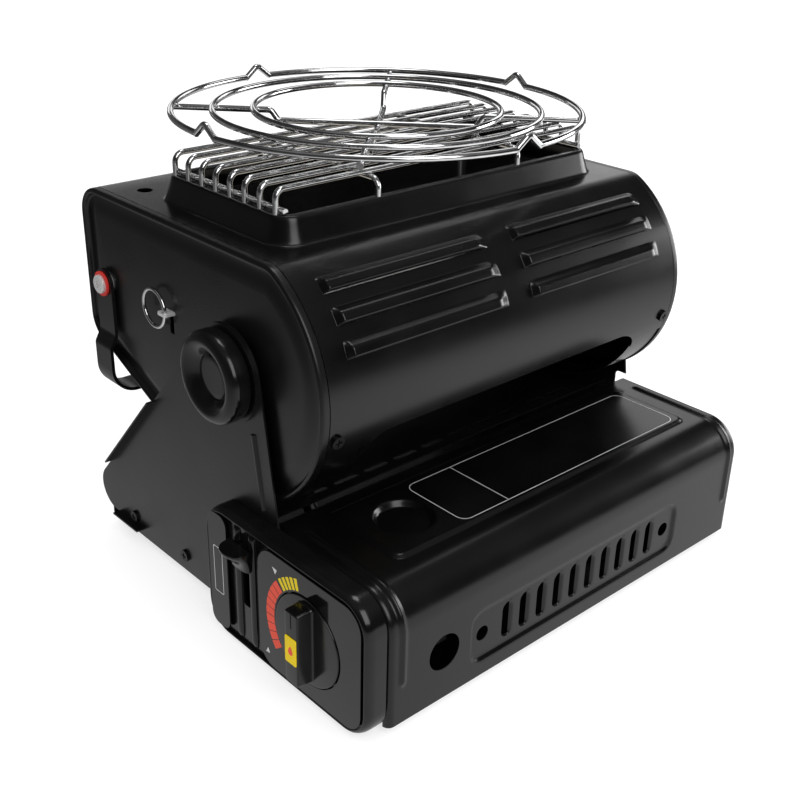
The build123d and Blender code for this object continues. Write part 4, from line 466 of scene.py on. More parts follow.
def finishes():
    """One material for each slot of the record, and one for each colour of print."""
    return {
        "black_enamel": coat("black_enamel", 0.0016, 0.0026, (0.21, 0.27), 1.1 * MM, 0.003 * MM, 0.012),
        "dark_coat": coat("dark_coat", 0.0022, 0.0034, (0.26, 0.34), 0.5 * MM, 0.006 * MM, 0.015),
        "bright_wire": plated("bright_wire", (0.95, 0.95, 0.955), (0.07, 0.14), 0.012),
        "zinc_steel": drawn_metal("zinc_steel", (0.80, 0.80, 0.79), (0.26, 0.40), 0, 0.45),
        "black_screw": plated("black_screw", (0.05, 0.05, 0.052), (0.28, 0.42), 0.004),
        "reflector": drawn_metal("reflector", (0.64, 0.63, 0.61), (0.16, 0.30), 0),
        "ceramic": ceramic("ceramic"),
        "brass": plated("brass", (0.72, 0.53, 0.24), (0.20, 0.36), 0.006),
        "cast_zinc": plated("cast_zinc", (0.50, 0.50, 0.51), (0.36, 0.52), 0.003),
        "black_plastic": moulded(
            "black_plastic", (0.0025, 0.0025, 0.0027), (0.14, 0.22), 0.45 * MM, 0.004 * MM
        ),
        "printed_plate": moulded("printed_plate", (0.003, 0.003, 0.0032), (0.06, 0.10), 0.5 * MM, 0.001 * MM),
        "yellow_insert": moulded(
            "yellow_insert", (0.78, 0.57, 0.010), (0.30, 0.42), 0.8 * MM, 0.004 * MM, MATT
        ),
        "red_washer": moulded("red_washer", (0.52, 0.022, 0.016), (0.34, 0.48), 0.6 * MM, 0.006 * MM),
        "foot_rubber": moulded("foot_rubber", (0.012, 0.012, 0.012), (0.62, 0.80), 0.7 * MM, 0.03 * MM),
        "white_print": ink("white_print", (0.60, 0.60, 0.61), (0.40, 0.55)),
        "red_print": ink("red_print", (0.70, 0.088, 0.055), (0.40, 0.52)),
        "yellow_print": ink("yellow_print", (0.72, 0.56, 0.02), (0.40, 0.52)),
        "dark_print": ink("dark_print", (0.002, 0.002, 0.002), (0.50, 0.62)),
    }


def weld(work):
    """Joins vertices that lie on one another."""
    bmesh.ops.remove_doubles(work, verts=work.verts, dist=WELD)


def add_piece(name, work, body, slot, replaced=(), thick=0.0, sharp=32.0, look=None):
    """Object from a mesh that was drawn in millimetres, riding a body in place of some CAD nodes."""
    weld(work)
    for edge in work.edges:
        edge.smooth = len(edge.link_faces) == 2 and edge.calc_face_angle(0.0) < math.radians(sharp)
    for face in work.faces:
        face.smooth = True
    for vert in work.verts:
        vert.co = (vert.co + OFFSET) * MM
    mesh = bpy.data.meshes.new(name)
    work.to_mesh(mesh)
    work.free()
    mesh.materials.append(looks[look or slot])
    made = bpy.data.objects.new(name, mesh)
    bpy.context.scene.collection.objects.link(made)
    if thick:
        solid = made.modifiers.new("thickness", "SOLIDIFY")
        solid.thickness = thick * MM
        solid.offset = -1.0
    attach(made, body)
    if replaced:
        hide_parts(*replaced)
    return made


def face_out(work, reference):
    """Turns every face so that the one nearest to a point of the mesh faces the way given."""
    point, way = Vector(reference[0]), Vector(reference[1])
    bmesh.ops.recalc_face_normals(work, faces=work.faces)
    nearest = min(work.faces, key=lambda f: (f.calc_center_median() - point).length)
    if nearest.normal.dot(way) < 0:
        bmesh.ops.reverse_faces(work, faces=work.faces)


def sheet(us, vs, place, keep):
    """Sheet over a grid of stations, without the cells that aren't kept."""
    work = bmesh.new()
    grid = [[work.verts.new(place(u, v)) for v in vs] for u in us]
    for i in range(len(us) - 1):
        for j in range(len(vs) - 1):
            if keep((us[i] + us[i + 1]) / 2, (vs[j] + vs[j + 1]) / 2):
                work.faces.new((grid[i][j], grid[i + 1][j], grid[i + 1][j + 1], grid[i][j + 1]))
    return work, grid


def pierce(work, centre, radius, reach, across):
    """Round hole in a flat part of a sheet: the cells within reach give way to a ring of faces."""
    middle = Vector(centre)

    def spot(point):
        away = point - middle
        return away.x, away.dot(across)

    gone = []
    for face in work.faces:
        x, w = spot(face.calc_center_median())
        off_plane = abs((face.calc_center_median() - middle).dot(Vector((1, 0, 0)).cross(across)))
        if max(abs(x), abs(w)) < reach and off_plane < reach:
            gone.append(face)
    lost = set(gone)
    border = {v for f in gone for v in f.verts if any(g not in lost for g in v.link_faces)}
    ring = sorted(border, key=lambda v: math.atan2(*reversed(spot(v.co))))
    bmesh.ops.delete(work, geom=gone, context="FACES")
    inner = []
    for vert in ring:
        x, w = spot(vert.co)
        scale = radius / math.hypot(x, w)
        inner.append(work.verts.new(middle + Vector((x * scale, 0, 0)) + across * (w * scale)))
    for i in range(len(ring)):
        k = (i + 1) % len(ring)
        work.faces.new((ring[i], ring[k], inner[k], inner[i]))


def bridge(work, rings, closed=True):
    """Quads between rings of points that have the same count."""
    made = [[work.verts.new(p) for p in ring] for ring in rings]
    for low, high in zip(made, made[1:]):
        count = len(low)
        for i in range(count if closed else count - 1):
            k = (i + 1) % count
            work.faces.new((low[i], low[k], high[k], high[i]))
    return made


def fill(work, loops):
    """Flat face inside the first loop of vertices, with the others as its holes."""
    edges = []
    for loop in loops:
        for a, b in zip(loop, loop[1:] + loop[:1]):
            edges.append(work.edges.get((a, b)) or work.edges.new((a, b)))
    bmesh.ops.triangle_fill(work, use_beauty=True, edges=edges)


def stations(first, last, step, marks=()):
    """Values from first to last at most a step apart, through all the marks."""
    fixed = sorted({round(m, 4) for m in (first, last, *marks) if first - 1e-6 <= m <= last + 1e-6})
    values = []
    for a, b in zip(fixed, fixed[1:]):
        count = max(1, math.ceil((b - a) / step - 1e-6))
        values.extend(a + (b - a) * i / count for i in range(count))
    return values + [fixed[-1]]


def smooth(value):
    """0 to 1 with soft ends."""
    k = min(max(value, 0.0), 1.0)
    return k * k * (3 - 2 * k)


def inside_rounded(p, q, box_p, box_q, radius):
    """Depth of a point inside a rounded rectangle, negative outside."""
    half_p, half_q = (box_p[1] - box_p[0]) / 2, (box_q[1] - box_q[0]) / 2
    a = abs(p - (box_p[0] + box_p[1]) / 2) - half_p + radius
    b = abs(q - (box_q[0] + box_q[1]) / 2) - half_q + radius
    return radius - math.hypot(max(a, 0.0), max(b, 0.0)) - min(max(a, b), 0.0)


def full_turn(steps):
    """Angles evenly round a full turn."""
    return [math.tau * i / steps for i in range(steps)]


def corners(span_p, span_q):
    """Corners of a rectangle from its two spans."""
    (p0, p1), (q0, q1) = span_p, span_q
    return [(p0, q0), (p1, q0), (p1, q1), (p0, q1)]


def rounded_ring(middle, half, radius, steps=8):
    """Points round a rounded rectangle."""
    points = []
    for quarter in range(4):
        sx, sy = ((1, 1), (-1, 1), (-1, -1), (1, -1))[quarter]
        cx, cy = middle[0] + sx * (half[0] - radius), middle[1] + sy * (half[1] - radius)
        for i in range(steps + 1):
            turn = math.radians(90 * (quarter + i / steps))
            points.append((cx + radius * math.cos(turn), cy + radius * math.sin(turn)))
    return points


def sectors():
    """The drum's section as pieces: a first and last station, then a round or straight form.

    A round stretch has a station for each degree, and a straight one is a single station long.
    """
    heel = arc_point(HEEL_MID, CORNER_R, SLOPE)
    sole = arc_point(SOLE_MID, CORNER_R, SLOPE)
    top, rear = BROW_MID[1] + CORNER_R, REAR_MID[0] + CORNER_R
    return [
        (-90.0, BROW, (0.0, 0.0), DRUM_R, -90.0),
        (BROW, 90.0, BROW_MID, CORNER_R, BROW),
        (90.0, 91.0, (BROW_MID[0], top), (REAR_MID[0], top)),
        (91.0, 181.0, REAR_MID, CORNER_R, 90.0),
        (181.0, 182.0, (rear, REAR_MID[1]), (rear, HEEL_MID[1])),
        (182.0, SLOPE + 2, HEEL_MID, CORNER_R, 180.0),
        (SLOPE + 2, SLOPE + 3, heel, sole),
        (SLOPE + 3, 273.0, SOLE_MID, CORNER_R, SLOPE),
        (273.0, 274.0, (SOLE_MID[0], -DRUM_R), (0.0, -DRUM_R)),
    ]


def arc_point(middle, radius, turn):
    """Point of an arc of the section, with the turn counted up from the front."""
    angle = math.radians(turn)
    return (middle[0] - radius * math.cos(angle), middle[1] + radius * math.sin(angle))


def section(station, inset=0.0):
    """Point of the drum's section moved inwards by an inset, as y and z of the drawing."""
    for first, last, *form in SECTORS:
        if station <= last:
            break
    if len(form) == 3:
        middle, radius, turn = form
        y, z = arc_point(middle, radius - inset, turn + station - first)
    else:
        (y0, z0), (y1, z1) = form
        k = (station - first) / (last - first)
        length = math.hypot(y1 - y0, z1 - z0)
        y = y0 + k * (y1 - y0) + inset * (z1 - z0) / length
        z = z0 + k * (z1 - z0) - inset * (y1 - y0) / length
    return PIVOT_Y + y, PIVOT_Z + z


def top_station(y):
    """Station of the section's top line at y of the drawing."""
    return 90.0 + (y - PIVOT_Y - BROW_MID[0]) / (REAR_MID[0] - BROW_MID[0])


def side_slope(value):
    """Even slope from 0 to 1 with a tight foot and a round shoulder."""
    if value < SIDE_FOOT:
        return max(value, 0.0) ** 2 / (2 * SIDE_FOOT)
    if value < SIDE_SHOULDER:
        return value - SIDE_FOOT / 2
    reached = SIDE_SHOULDER - SIDE_FOOT / 2
    left = max(SIDE_END - value, 0.0) / (SIDE_END - SIDE_SHOULDER)
    return reached + (1 - reached) * (1 - left * left)


def louvre_height(x, station):
    """Height of the pressed louvres over the drum."""
    for row in range(LOUVRE_ROWS):
        low = LOUVRE_FIRST + row * LOUVRE_PITCH
        high = low + LOUVRE_SPAN
        if low <= station <= high and LOUVRE_X[0] <= abs(x) <= LOUVRE_X[1]:
            left, right = LOUVRE_X if x > 0 else (-LOUVRE_X[1], -LOUVRE_X[0])
            ends = side_slope((x - left) / LOUVRE_LEFT_RUN) * side_slope((right - x) / LOUVRE_RIGHT_RUN)
            roll = max(1 - math.radians(station - low) * DRUM_R / LIP_ROLL, 0.0)
            face = LOUVRE_RISE * side_slope(math.radians(high - station) * DRUM_R / LOUVRE_TOP_RUN)
            return ends * (face - LIP_DROP * (1 - math.sqrt(1 - roll * roll)))
    return 0.0


def upper_shell():
    """Drum's front, top and rear in one sheet, with louvres that open along their lower lips."""
    lows = [LOUVRE_FIRST + i * LOUVRE_PITCH for i in range(LOUVRE_ROWS)]
    marks = [SHELL_EDGE] + [sector[1] for sector in SECTORS]
    marks += [SHELL_TAB + (SHELL_EDGE - SHELL_TAB) * i / TAB_ROWS for i in range(TAB_ROWS)]
    for low in lows:
        marks += [low - LIP_GUARD, low - LIP_STEP]
        marks += [low + math.degrees(LIP_ROLL * k / DRUM_R) for k in LIP_MARKS]
        marks += [low + LOUVRE_SPAN - math.degrees(LOUVRE_TOP_RUN * k / DRUM_R) for k in SIDE_MARKS]
    opening = (top_station(OPENING_Y - OPENING_HALF_WIDTH), top_station(OPENING_Y + OPENING_HALF_WIDTH))
    marks += opening
    marks += [top_station(TOP_HOLE[1] + TOP_HOLE_REACH * i / 2) for i in range(-2, 3)]
    vs = stations(SHELL_TAB, SHELL_HEEL, SHELL_GRID[1], marks)
    xs = [SHELL_TAB_X, SHELL_TAB_X - TAB_STEP, OPENING_HALF]
    xs += [SHELL_TAB_X - CUT_RUN * (1 - math.sin(math.radians(9 * i))) for i in range(10)]
    xs = [s * x for x in xs for s in (-1, 1)] + [TOP_HOLE[0] + TOP_HOLE_REACH * i / 2 for i in range(-2, 3)]
    for left, right in (LOUVRE_X, (-LOUVRE_X[1], -LOUVRE_X[0])):
        xs += [left + LOUVRE_LEFT_RUN * k for k in SIDE_MARKS]
        xs += [right - LOUVRE_RIGHT_RUN * k for k in SIDE_MARKS]
    us = stations(-SHELL_HALF, SHELL_HALF, SHELL_GRID[0], xs)

    def place(x, station):
        if station < SHELL_EDGE and abs(x) < SHELL_TAB_X - TAB_STEP / 2:
            run = min(max(1 - (SHELL_TAB_X - abs(x)) / CUT_RUN, 0.0), 1.0)
            drop = CUT_DROP * (1 - math.sqrt(1 - run * run))
            station = SHELL_EDGE + drop * (station - SHELL_EDGE) / (SHELL_EDGE - SHELL_TAB)
        y, z = section(station, -louvre_height(x, station))
        return x, y, z

    def keep(x, station):
        if station < SHELL_EDGE and abs(x) < SHELL_TAB_X - CUT_RUN:
            return False
        if opening[0] < station < opening[1] and abs(x) < OPENING_HALF:
            return False
        slit = any(low - LIP_STEP < station < low for low in lows)
        return not (slit and LOUVRE_X[0] < abs(x) < LOUVRE_X[1])

    work, _ = sheet(us, vs, place, keep)
    pierce(work, (*TOP_HOLE, TOP_Z), TOP_HOLE_R, TOP_HOLE_REACH, Vector((0, 1, 0)))
    weld(work)
    face_out(work, ((0, 120, TOP_Z), (0, 0, 1)))
    add_piece("drum_shell", work, "head", "black_enamel", ["upper_shell"], SHEET)


def end_plate(side):
    """Drum end: rolled rim, groove, hollow border, and a field almost level with the rim, with its holes."""
    vs = stations(SECTORS[0][0], SECTORS[-1][1], END_STEP, [sector[1] for sector in SECTORS])[:-1]
    rings = [[(side * x, *section(v, inset)) for v in vs] for inset, x in END_PROFILE]
    work = bmesh.new()
    made = bridge(work, rings)
    field_x = side * END_PROFILE[-1][1]
    loops = [made[-1]]
    for (y, z), radius in (((PIVOT_Y, PIVOT_Z), BUSH_HOLE_R), (HANDLE_AT, HANDLE_HOLE_R)):
        points = [(field_x, y + radius * math.cos(a), z + radius * math.sin(a)) for a in full_turn(32)]
        loops.append([work.verts.new(p) for p in points])
    if side < 0:
        loops.append([work.verts.new((field_x, y, z)) for y, z in corners(*LATCH_SLOT)])
    fill(work, loops)
    face_out(work, ((field_x, 60, 140), (side, 0, 0)))
    name = "left_end" if side < 0 else "right_end"
    add_piece("drum_" + name, work, "head", "dark_coat", [name + "_plate"], SHEET)


def lid_place(x, path):
    """Point of the lid's plain sheet at x and a length along its path, and its outward normal."""
    top = LID_FRONT_Y + LID_CORNER
    flat = LID_REAR_Y - top
    bend = LID_CORNER * math.pi / 2
    if path <= flat:
        return Vector((x, LID_REAR_Y - path, LID_TOP_Z)), Vector((0, 0, 1))
    if path <= flat + bend:
        turn = (path - flat) / LID_CORNER
        normal = Vector((0, -math.sin(turn), math.cos(turn)))
        return Vector((x, top, LID_TOP_Z - LID_CORNER)) + LID_CORNER * normal, normal
    return Vector((x, LID_FRONT_Y, LID_TOP_Z - LID_CORNER - (path - flat - bend))), Vector((0, -1, 0))


def lid_height(x, path):
    """Height of the lid's pressed forms over its plain sheet."""
    point, normal = lid_place(x, path)
    height = 0.0
    for bead in BEAD_X:
        away = abs(x - bead)
        if away < BEAD_HALF:
            over = max(point.y - BEAD_REAR_Y, BEAD_LOW_Z - point.z, 0.0) if normal.z in (0.0, 1.0) else 0.0
            reach = math.hypot(away, over)
            height += BEAD_RISE * math.cos(math.pi / 2 * min(reach / BEAD_HALF, 1.0)) ** 2
    if normal.z == 1.0:
        height += PRESS * smooth(inside_rounded(x, point.y, PANEL_X, PANEL_Y, PANEL_R) / PRESS_WALL)
        off = math.hypot(x - DISH_AT[0], point.y - DISH_AT[1])
        height -= DISH_DEPTH * smooth((DISH_R - off) / DISH_WALL)
    elif normal.z == 0.0:
        height -= PRESS * smooth(inside_rounded(x, point.z, PAD_X, PAD_Z, PAD_R) / PRESS_WALL)
        along, end = slot_spot(x, point.z)
        if along is not None and SLOT_OPEN - SLACK <= along <= SLOT_WIDTH:
            height -= SLOT_DEPTH * end * ((SLOT_WIDTH - along) / (SLOT_WIDTH - SLOT_OPEN)) ** 2
    past = max(x - LID_X[1], LID_X[0] - x) / LID_END_R + 1
    if past > 0:
        height -= LID_END_R * (1 - math.sqrt(max(1 - past * past, 0.0)))
    return height


def slot_spot(x, z):
    """Distance from the left edge of the slot at a point and how open the slot is there, or nothing."""
    rise = abs(z - (PAD_Z[0] + PAD_Z[1]) / 2)
    number = math.floor((x - SLOT_FIRST + SLACK) / SLOT_PITCH)
    along = x - SLOT_FIRST - number * SLOT_PITCH
    if not 0 <= number < SLOT_COUNT or along > SLOT_WIDTH + SLACK or rise > SLOT_HALF:
        return None, 0.0
    over = max(rise - SLOT_HALF + SLOT_WIDTH / 2, 0.0) / (SLOT_WIDTH / 2)
    return along, math.sqrt(max(1 - over * over, 0.0))


def cartridge_lid():
    """Lid pressed from one sheet: raised panel, dish, beads, vent pad with lanced slots, and holes."""
    flat = LID_REAR_Y - LID_FRONT_Y - LID_CORNER
    front = flat + LID_CORNER * math.pi / 2 + LID_TOP_Z - LID_CORNER
    length = front - LID_LOW_Z
    walls = [PRESS_WALL * i / WALL_STEPS for i in range(WALL_STEPS + 1)]
    rows = [flat + LID_CORNER * math.pi / 2 * i / BEND_STEPS for i in range(BEND_STEPS + 1)]
    rows += [LID_REAR_Y - PANEL_Y[1] + w for w in walls] + [LID_REAR_Y - PANEL_Y[0] - w for w in walls]
    rows += [front - PAD_Z[1] + w for w in walls] + [front - PAD_Z[0] - w for w in walls]
    middle = front - (PAD_Z[0] + PAD_Z[1]) / 2
    for inset in SLOT_END_MARKS:
        rows += [middle - SLOT_HALF + inset, middle + SLOT_HALF - inset]
    across = [DISH_R * i / DISH_STEPS for i in range(-DISH_STEPS, DISH_STEPS + 1)]
    rows += [LID_REAR_Y - DISH_AT[1] + a for a in across]
    vs = stations(0.0, length, GRID_STEP, rows)
    columns = []
    for i in range(SLOT_COUNT):
        left = SLOT_FIRST + i * SLOT_PITCH
        columns += [left + a for a in (0.0, SLOT_OPEN, *SLOT_FLANK_MARKS, SLOT_WIDTH)]
    columns += [DISH_AT[0] + a for a in across]
    columns += [b + BEAD_HALF * i / BEAD_STEPS for b in BEAD_X for i in range(-BEAD_STEPS, BEAD_STEPS + 1)]
    columns += [PANEL_X[0] + w for w in walls] + [PANEL_X[1] - w for w in walls]
    columns += [PAD_X[0] + w for w in walls] + [PAD_X[1] - w for w in walls]
    quarter = [math.pi / 2 * i / END_BEND_STEPS for i in range(END_BEND_STEPS + 1)]
    bends = [LID_END_R * (1 - math.sin(a)) for a in quarter]
    columns += [LID_X[1] - b for b in bends] + [LID_X[0] + b for b in bends]
    us = stations(*LID_X, GRID_STEP, columns)

    def place(x, path):
        point, normal = lid_place(x, path)
        along, end = slot_spot(x, point.z) if normal.z == 0.0 else (None, 0.0)
        height = lid_height(x, path)
        if along is not None:
            centre = x - along + SLOT_WIDTH / 2
            point.x = centre + (x - centre) * end
        return point + normal * height

    def keep(x, path):
        point, normal = lid_place(x, path)
        along, _ = slot_spot(x, point.z) if normal.z == 0.0 else (None, 0.0)
        return along is None or along > SLOT_OPEN

    work, grid = sheet(us, vs, place, keep)
    up = Vector((0, 0, 1))
    sight = (SIGHT_HOLE[0], LID_FRONT_Y, SIGHT_HOLE[1])
    pierce(work, sight, SIGHT_HOLE_R, SIGHT_HOLE_R + HOLE_MARGIN, up)
    for x, z in PAD_HOLES:
        pierce(work, (x, LID_FRONT_Y + PRESS, z), PAD_HOLE_R, PAD_HOLE_R + HOLE_MARGIN, up)
    # The far end is closed by a flat cheek
    corner = work.verts.new((LID_X[1], LID_REAR_Y, LID_LOW_Z))
    work.faces.new([*grid[-1], corner])
    weld(work)
    face_out(work, ((0, -80, LID_TOP_Z), (0, 0, 1)))
    add_piece("lid_sheet", work, "lid", "black_enamel", ["cartridge_lid"], SHEET)


def opening_collar():
    """Collar with a soft foot, drawn-in sides and a rounded crest."""
    rings = []
    for extra, z in COLLAR_PROFILE:
        half = (OPENING_HALF + extra, OPENING_HALF_WIDTH + extra)
        rings.append([(x, y, z) for x, y in rounded_ring((0, OPENING_Y), half, OPENING_CORNER + extra, 12)])
    work = bmesh.new()
    bridge(work, rings)
    face_out(work, ((0, OPENING_Y - OPENING_HALF_WIDTH - 5, 222), (0, -1, 0)))
    add_piece("collar_frame", work, "head", "black_enamel", ["opening_collar"], SHEET)


def lathe(work, profile, at, side=1, steps=96):
    """Turned form about a line along X, from a profile of x and radius that ends on the line."""
    rings = []
    for x, radius in profile:
        spots = [(radius * math.cos(a), radius * math.sin(a)) for a in full_turn(steps)]
        rings.append([(side * x, at[0] + p, at[1] + q) for p, q in spots])
    bridge(work, rings)
    weld(work)


def clamp_knob(side):
    """Mushroom knob with a dished face and a raised middle."""
    work = bmesh.new()
    lathe(work, KNOB_PROFILE, (PIVOT_Y, PIVOT_Z), side)
    face_out(work, ((side * KNOB_PROFILE[-1][0], PIVOT_Y, PIVOT_Z), (side, 0, 0)))
    name = "left" if side < 0 else "right"
    add_piece(name + "_knob_form", work, name + "_knob", "black_plastic", [name + "_clamp_knob"], sharp=50.0)


def control_bezel():
    """Cover of the control end: rounded border, and a sunk floor with the lever's slot between two ridges."""
    rings = []
    for inset, x in BEZEL_PROFILE:
        half = (BEZEL_HALF[0] - inset, BEZEL_HALF[1] - inset)
        rings.append([(x, y, z) for y, z in rounded_ring(BEZEL_MIDDLE, half, BEZEL_R - inset, 12)])
    work = bmesh.new()
    made = bridge(work, rings)
    floor_x = BEZEL_PROFILE[-1][1]
    (y0, y1), (z0, z1) = LEVER_SLOT
    slot = rounded_ring(((y0 + y1) / 2, (z0 + z1) / 2), ((y1 - y0) / 2, (z1 - z0) / 2), (y1 - y0) / 4)
    fill(work, [made[-1], [work.verts.new((floor_x, y, z)) for y, z in slot]])
    face_out(work, ((floor_x, -100, 40), (-1, 0, 0)))
    add_piece("bezel_cover", work, "base", "black_plastic", ["control_bezel"], BEZEL_WALL, sharp=50.0)
    channel_ridges(floor_x)


def channel_ridges(floor_x):
    """Two round ridges with blunt ends, one on each side of the lever's slot."""
    work = bmesh.new()
    turns = [math.pi * j / RIDGE_ROUND for j in range(RIDGE_ROUND + 1)]
    for y in (LEVER_Y - RIDGE_SET, LEVER_Y + RIDGE_SET):
        rings = []
        for i in range(RIDGE_STEPS + 1):
            k = -math.cos(math.pi * i / RIDGE_STEPS)
            z = (RIDGE_Z[0] + RIDGE_Z[1]) / 2 + k * (RIDGE_Z[1] - RIDGE_Z[0]) / 2
            rise = RIDGE_RISE * math.sqrt(1 - abs(k) ** RIDGE_BLUNT)
            rings.append([(floor_x - rise * math.sin(a), y + RIDGE_HALF * math.cos(a), z) for a in turns])
        bridge(work, rings, closed=False)
    weld(work)
    face_out(work, ((floor_x - RIDGE_RISE, LEVER_Y + RIDGE_SET, 40), (-1, 0, 0)))
    add_piece("channel_ridges", work, "base", "black_plastic", sharp=50.0)


def valve_knob():
    """Disc level with the plate and a tall grip bar."""
    work = bmesh.new()
    lathe(work, DISC_PROFILE, VALVE_AT)
    rings = []
    for x, extra, radius in GRIP_RINGS:
        half = (GRIP_HALF[0] + extra, GRIP_HALF[1] + extra)
        rings.append([(x, y, z) for y, z in rounded_ring(VALVE_AT, half, radius)])
    made = bridge(work, rings)
    work.faces.new(made[-1])
    face_out(work, ((GRIP_RINGS[-1][0], *VALVE_AT), (-1, 0, 0)))
    add_piece("valve_knob_form", work, "valve", "black_plastic", ["valve_knob"], sharp=40.0)


def box_form(work, x, y, z):
    """Plain block of a hidden part of a piece."""
    low, high = bridge(work, [[(a, b, c) for a, b in corners(x, y)] for c in z])
    work.faces.new(low)
    work.faces.new(high)


def gas_lever():
    """Thumb tab with a flat top and a hollow underside, on a stem with its guide and arm."""
    work = bmesh.new()
    turns = [math.pi * i / LEVER_STEPS for i in range(LEVER_STEPS + 1)]
    curve = [(math.sin(a) ** LEVER_SQUARE, math.cos(a)) for a in turns]
    rings = []
    for z, reach, half in LEVER_RINGS:
        rings.append([(LEVER_ROOT_X - reach * out, LEVER_Y + half * off, z) for out, off in curve])
    made = bridge(work, rings)
    work.faces.new(made[0])
    work.faces.new(made[-1])
    for block in LEVER_BLOCKS:
        box_form(work, *block)
    bmesh.ops.recalc_face_normals(work, faces=work.faces)
    add_piece("lever_form", work, "lever", "black_plastic", ["gas_lever"], sharp=40.0)


def dress(frame):
    """Gives each CAD node the finish of its slot."""
    for part in frame["record"]["subparts"]:
        mesh = frame["nodes"][part["node"]].data
        mesh.materials.clear()
        mesh.materials.append(looks[part["material_slot"]])


def flat_print(name, outlines, place, body, colour):
    """Thin printed shapes: each outline is a list of points that place sets on a surface."""
    work = bmesh.new()
    for outline in outlines:
        work.faces.new([work.verts.new(place(*p)) for p in outline])
    add_piece(name, work, body, "printed_plate", look=colour)


def frame_line(box_p, box_q, radius, width):
    """Outlines of a thin rounded frame."""
    middle = ((box_p[0] + box_p[1]) / 2, (box_q[0] + box_q[1]) / 2)
    half = ((box_p[1] - box_p[0]) / 2, (box_q[1] - box_q[0]) / 2)
    outer = rounded_ring(middle, half, radius)
    inner = rounded_ring(middle, (half[0] - width, half[1] - width), radius - width)
    count = len(outer)
    return [(outer[i], outer[(i + 1) % count], inner[(i + 1) % count], inner[i]) for i in range(count)]


def ring_part(first, last, radii, steps=6):
    """Outline of a piece of a ring between two turns, counted from the rear upwards."""
    turns = [math.radians(first + (last - first) * i / steps) for i in range(steps + 1)]
    outer = [(radii[1] * math.cos(a), radii[1] * math.sin(a)) for a in turns]
    inner = [(radii[0] * math.cos(a), radii[0] * math.sin(a)) for a in reversed(turns)]
    return outer + inner


def prints():
    """Plain frames and bands in the places of the photographed object's prints."""
    lid_z = LID_TOP_Z + PRESS + PRINT_LIFT
    label = frame_line(LABEL_X, LABEL_Y, LABEL_R, LABEL_LINE)
    split = corners((LABEL_SPLIT - LABEL_LINE / 2, LABEL_SPLIT + LABEL_LINE / 2), LABEL_Y)
    flat_print("label_frame", label + [split], lambda x, y: (x, y, lid_z), "lid", "white_print")

    def about_valve(x):
        return lambda p, q: (x - PRINT_LIFT, VALVE_AT[0] + p, VALVE_AT[1] + q)

    def parts(arc, count, gap):
        span = (arc[1] - arc[0]) / count
        return [ring_part(arc[0] + i * span, arc[0] + (i + 1) * span - gap, ARC_R) for i in range(count)]

    on_plate = about_valve(PLATE_X)
    flat_print("red_band", parts(RED_ARC, RED_PARTS, RED_GAP), on_plate, "base", "red_print")
    flat_print("yellow_band", parts(YELLOW_ARC, YELLOW_PARTS, YELLOW_GAP), on_plate, "base", "yellow_print")
    flat_print("plate_marks", PLATE_MARKS, on_plate, "base", "white_print")
    strip = frame_line(STRIP_Y, STRIP_Z, STRIP_R, STRIP_LINE)
    flat_print("strip_frame", strip, lambda y, z: (PLATE_X - PRINT_LIFT, y, z), "base", "white_print")
    grip_x = GRIP_RINGS[-1][0]
    flat_print("grip_mark", [corners(*GRIP_MARK)], about_valve(grip_x), "valve", "dark_print")
    flame = []
    for a in full_turn(32):
        width = FLAME_HALF[0] * math.sin(a) * (1.0 - FLAME_TAPER * math.cos(a))
        flame.append((width, FLAME_HALF[1] * math.cos(a) - FLAME_DROP))
    flat_print("flame", [flame], about_valve(INSERT_X), "valve", "red_print")


def look_matrix(azimuth, elevation, roll):
    """Camera axes and the direction back from the aim: azimuth 0 looks along +Y."""
    across, up = math.radians(azimuth), math.radians(elevation)
    back = Vector((math.sin(across) * math.cos(up), -math.cos(across) * math.cos(up), math.sin(up)))
    right = (-back).cross(Vector((0, 0, 1))).normalized()
    top = right.cross(-back)
    turn = Matrix.Rotation(math.radians(roll), 3, back)
    return Matrix((turn @ right, turn @ top, back)).transposed(), back


def camera():
    """Camera of the photograph."""
    axes, back = look_matrix(CAMERA_AZIMUTH, CAMERA_ELEVATION, CAMERA_ROLL)
    data = bpy.data.cameras.new("camera")
    data.sensor_width = SENSOR_WIDTH
    data.lens = CAMERA_LENS
    data.clip_start = 0.01
    made = bpy.data.objects.new("camera", data)
    aim = (Vector(CAMERA_AIM) + OFFSET) * MM
    made.matrix_world = Matrix.Translation(aim + CAMERA_DISTANCE * back) @ axes.to_4x4()
    bpy.context.scene.collection.objects.link(made)
    bpy.context.scene.camera = made


def softbox(name, at, aim, size, power):
    """Rectangular area lamp aimed at a point."""
    data = bpy.data.lights.new(name, "AREA")
    data.shape = "RECTANGLE"
    data.size, data.size_y = size
    data.energy = power
    made = bpy.data.objects.new(name, data)
    made.location = at
    made.rotation_euler = (Vector(aim) - Vector(at)).to_track_quat("-Z", "Y").to_euler()
    bpy.context.scene.collection.objects.link(made)


